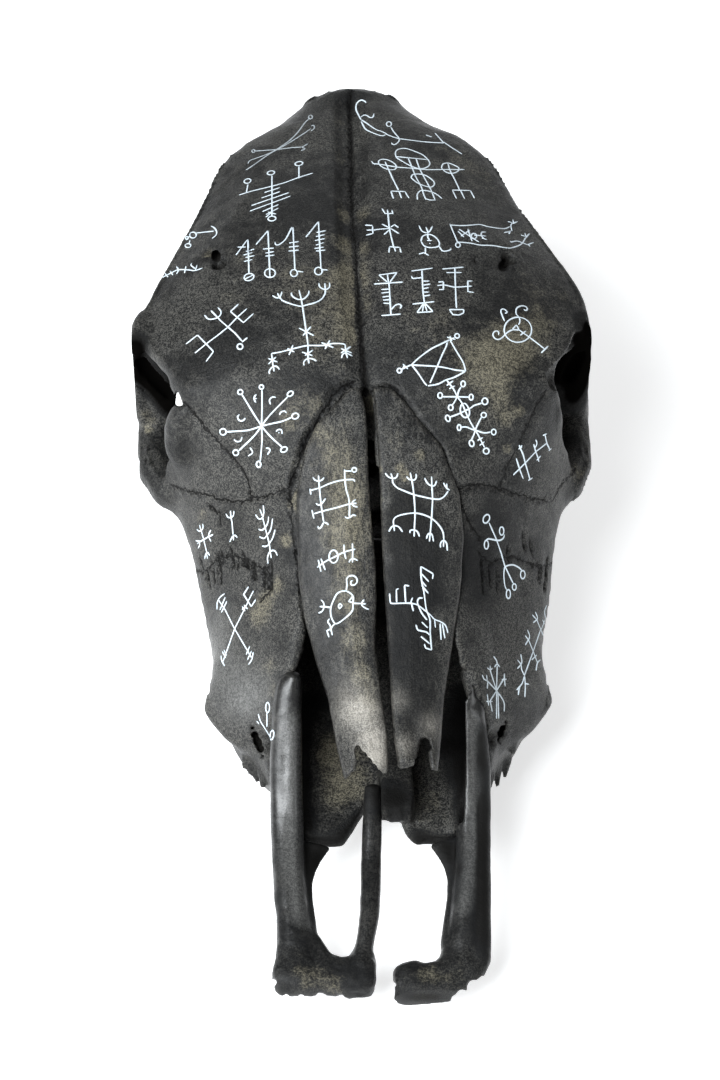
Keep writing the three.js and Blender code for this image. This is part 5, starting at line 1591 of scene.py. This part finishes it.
class SKULL_OT_small_bones(bpy.types.Operator):
    """Carve the nasal and incisive bones."""
    bl_idname = "skull.small_bones"
    bl_label = "Nasal and incisive bones"

    def execute(self, context):
        settings = context.scene.skull_bone
        view = View(context.scene.skull_stage)
        kinds = {
            # The nasal bones' painted highlight is a pale beige.
            "nasal": (carve_nasal, "worn_nasal_bone", bone_finish(
                "worn_nasal_bone", settings, rough=0.40, gloss=0.22, coat=0.2, streak=(1, 0.4, 0.6),
                highlight_tone=(0.33, 0.31, 0.275))),
            "incisive": (carve_incisive, "polished_muzzle_bone", bone_finish(
                "polished_muzzle_bone", settings, rough=0.34, gloss=0.22, coat=0.6, fine=0.35))}
        for number, (side, kind) in enumerate(itertools.product(("left", "right"), kinds)):
            carve, slot, material = kinds[kind]
            node = f"{kind}_bone_{side}"
            noise = Noise(20 + number)
            field = Field(node, settings.fine_step)
            carve(field)
            carve_details(field, node, view)

            def relief(points, normals):
                lift = 0.15 * noise.at(points, 14) + 0.07 * noise.at(points, 4)
                if kind == "incisive":
                    knobbly = smooth_step(32, 12, points[:, 1] - points[:, 1].min())
                    lift += knobbly * (0.6 * noise.at(points, 7) + 0.22 * noise.at(points + 50, 2.2))
                return lift

            finished_bone(field, view, f"{kind}_{side}", node, material, SMALL_BONE_TRIANGLES, relief)
        return {"FINISHED"}


class SKULL_OT_molars(bpy.types.Operator):
    """Carve the molars."""
    bl_idname = "skull.molars"
    bl_label = "Molars"

    def execute(self, context):
        settings = context.scene.skull_bone
        view = View(context.scene.skull_stage)
        enamel = bone_finish("tooth_enamel", settings, rough=0.35, gloss=0.3, coat=0.4)
        for side, number in itertools.product(("left", "right"), (1, 2, 3)):
            node = f"molar_{side}_{number}"
            field = Field(node, MOLAR_GRID)
            field.soften(thin=0.9)
            finished_bone(field, view, f"tooth_{side}_{number}", node, enamel,
                          MOLAR_TRIANGLES)
        return {"FINISHED"}


def laid(tree, view, places):
    """Where a stroke lies on the bone, in metres, and the ways that the bone faces there."""
    spots, facing = [], []
    for way in view.rays(places):
        spot, normal, _, _ = tree.ray_cast(Vector(view.place), Vector(way))
        if spot is None or spots and (spot - spots[-1]).length > PEN_LEAP:
            continue
        spots.append(spot)
        facing.append(-normal if normal.dot(Vector(way)) > 0 else normal)
    return np.array([spot[:] for spot in spots]), np.array([normal[:] for normal in facing])


def ribbon(tree, path, normals, widths, closed):
    """Points and triangles of a closed ribbon of paint along a path on the bone."""
    along = np.roll(path, -1, axis=0) - np.roll(path, 1, axis=0)
    if not closed:
        along[0], along[-1] = path[1] - path[0], path[-1] - path[-2]
    side = np.cross(along, normals)
    side /= np.maximum(np.linalg.norm(side, axis=1, keepdims=True), 1e-12)
    points, faces = [], []
    for middle, normal, across, width in zip(path, normals, side, widths):
        normal = Vector(normal)
        for out, height in SECTION:
            spot = Vector(middle + across * width * out)
            low, up, _, _ = tree.find_nearest(spot, PEN_REACH)
            if low is None:
                low, up = spot, normal
            if up.dot(normal) < PEN_LEVEL:
                up = normal
            points.append((low + up * (height / MM))[:])
    rim, count = len(SECTION), len(path)
    for i in range(count if closed else count - 1):
        here, there = i * rim, (i + 1) % count * rim
        for a in range(rim):
            b = (a + 1) % rim
            faces += [(here + a, there + a, there + b), (here + a, there + b, here + b)]
    if not closed:
        last = (count - 1) * rim
        for k in range(1, rim - 1):
            faces += [(0, k, k + 1), (last, last + k + 1, last + k)]
    return np.array(points), np.array(faces)


def painted(tree, view, strokes, half, seed):
    """Closed ribbons of paint along strokes in the picture, laid on the bone under them."""
    random = np.random.default_rng(seed)
    points, faces, count = [], [], 0
    for places, closed in strokes:
        places = even(places, PEN_STEP)
        path, normals = laid(tree, view, places[:-1] if closed else places)
        if len(path) < 2:
            continue
        knots = np.arange(0, len(path) + 4, 4)
        swing = np.interp(np.arange(len(path)), knots, random.uniform(-1, 1, len(knots)))
        widths = half * (1 + PEN_SWING * swing)
        if not closed:
            widths[[0, -1]] *= PEN_END
        spots, triangles = ribbon(tree, path, normals, widths, closed)
        points.append(spots)
        faces.append(triangles + count)
        count += len(spots)
    return np.vstack(points) * MM, np.vstack(faces)[:, ::-1]


class SKULL_OT_signs(bpy.types.Operator):
    """Paint the white staves on the bone."""
    bl_idname = "skull.signs"
    bl_label = "Painted staves"

    def execute(self, context):
        settings = context.scene.skull_paint
        view = View(context.scene.skull_stage)
        corners, triangles, count = [], [], 0
        for piece in context.scene.objects:
            if piece.name.startswith(("cranium_bone", "nasal_", "incisive_")) and piece.type == "MESH":
                points, faces = mesh_arrays(piece.data)
                corners.append(points / MM)
                triangles.append(faces + count)
                count += len(points)
        corners, triangles = np.vstack(corners).tolist(), np.vstack(triangles).tolist()
        tree = BVHTree.FromPolygons(corners, triangles, all_triangles=True)
        white = paint_finish(settings)
        for number, (name, strokes) in enumerate(SIGNS.items()):
            points, faces = painted(tree, view, strokes, settings.width / 2, 70 + number)
            piece = new_piece(f"paint_{name}", points, faces)
            give(piece, "faded", np.full(len(points), FADED.get(name, 0.0)))
            piece.data.materials.append(white)
            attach(piece, "root")
        return {"FINISHED"}


class SKULL_OT_stage(bpy.types.Operator):
    """Set the camera, the floor and the soft studio light."""
    bl_idname = "skull.stage"
    bl_label = "Stage"

    def execute(self, context):
        settings = context.scene.skull_stage
        scene = context.scene
        view = View(settings)
        lens = bpy.data.cameras.new("camera")
        lens.lens = settings.lens
        lens.sensor_width = SENSOR
        lens.clip_end = 20.0
        camera = placed("camera", lens)
        camera.location = view.place
        camera.rotation_euler = Vector(-view.back).to_track_quat("-Z", "Y").to_euler()
        scene.camera = camera

        mesh = bpy.data.meshes.new("floor")
        corners = ((-1, -1), (1, -1), (1, 1), (-1, 1))
        mesh.from_pydata([(x * FLOOR_HALF, y * FLOOR_HALF, 0) for x, y in corners], [], [(0, 1, 2, 3)])
        floor = placed("floor", mesh)
        paper = Finish("floor_paper")
        tone = paper.noise(3.0, 2.0)
        paper.fill(paper.shader, {
            "Base Color": paper.mix(tone, settings.floor_colour, (0.95, 0.95, 0.95)), "Roughness": 0.9,
            "Specular IOR Level": 0.2, "Emission Color": WHITE, "Emission Strength": FLOOR_GLOW})
        mesh.materials.append(paper.material)

        world = bpy.data.worlds.new("studio")
        scene.world = world
        world.use_nodes = True
        background = world.node_tree.nodes["Background"]
        background.inputs["Color"].default_value = WHITE
        background.inputs["Strength"].default_value = SKY

        aim = Vector(settings.aim)
        for name, place, width, power in LIGHTS:
            light = bpy.data.lights.new(name, "AREA")
            light.color = LIGHT_COLOUR
            light.shape = "SQUARE"
            light.size = width
            light.energy = power
            lamp = placed(name, light)
            lamp.location = place
            lamp.rotation_euler = (aim - Vector(place)).to_track_quat("-Z", "Y").to_euler()
        scene.view_settings.view_transform = "Standard"
        return {"FINISHED"}


class SKULL_PT_panel(bpy.types.Panel):
    """The skull's pieces, in the order that they are made."""
    bl_label = "Decorated Cow Skull"
    bl_space_type = "VIEW_3D"
    bl_region_type = "UI"
    bl_category = "Skull"

    def draw(self, context):
        for settings in (context.scene.skull_bone, context.scene.skull_paint, context.scene.skull_stage):
            box = self.layout.box()
            for name in settings.__annotations__:
                box.prop(settings, name)
        for operator in OPERATORS:
            self.layout.operator(operator.bl_idname)


SETTINGS = {"skull_stage": StageSettings, "skull_bone": BoneSettings, "skull_paint": PaintSettings}
OPERATORS = (SKULL_OT_stage, SKULL_OT_cranium, SKULL_OT_small_bones, SKULL_OT_molars, SKULL_OT_signs)


def register():
    for kind in (*SETTINGS.values(), *OPERATORS, SKULL_PT_panel):
        bpy.utils.register_class(kind)
    for name, kind in SETTINGS.items():
        setattr(bpy.types.Scene, name, bpy.props.PointerProperty(type=kind))


def unregister():
    for name in SETTINGS:
        delattr(bpy.types.Scene, name)
    for kind in (SKULL_PT_panel, *reversed(OPERATORS), *reversed(SETTINGS.values())):
        bpy.utils.unregister_class(kind)


def main():
    register()
    bpy.ops.skull.stage()
    bpy.ops.skull.cranium()
    bpy.ops.skull.small_bones()
    bpy.ops.skull.molars()
    bpy.ops.skull.signs()
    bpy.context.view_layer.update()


if __name__ == "__main__":
    main()
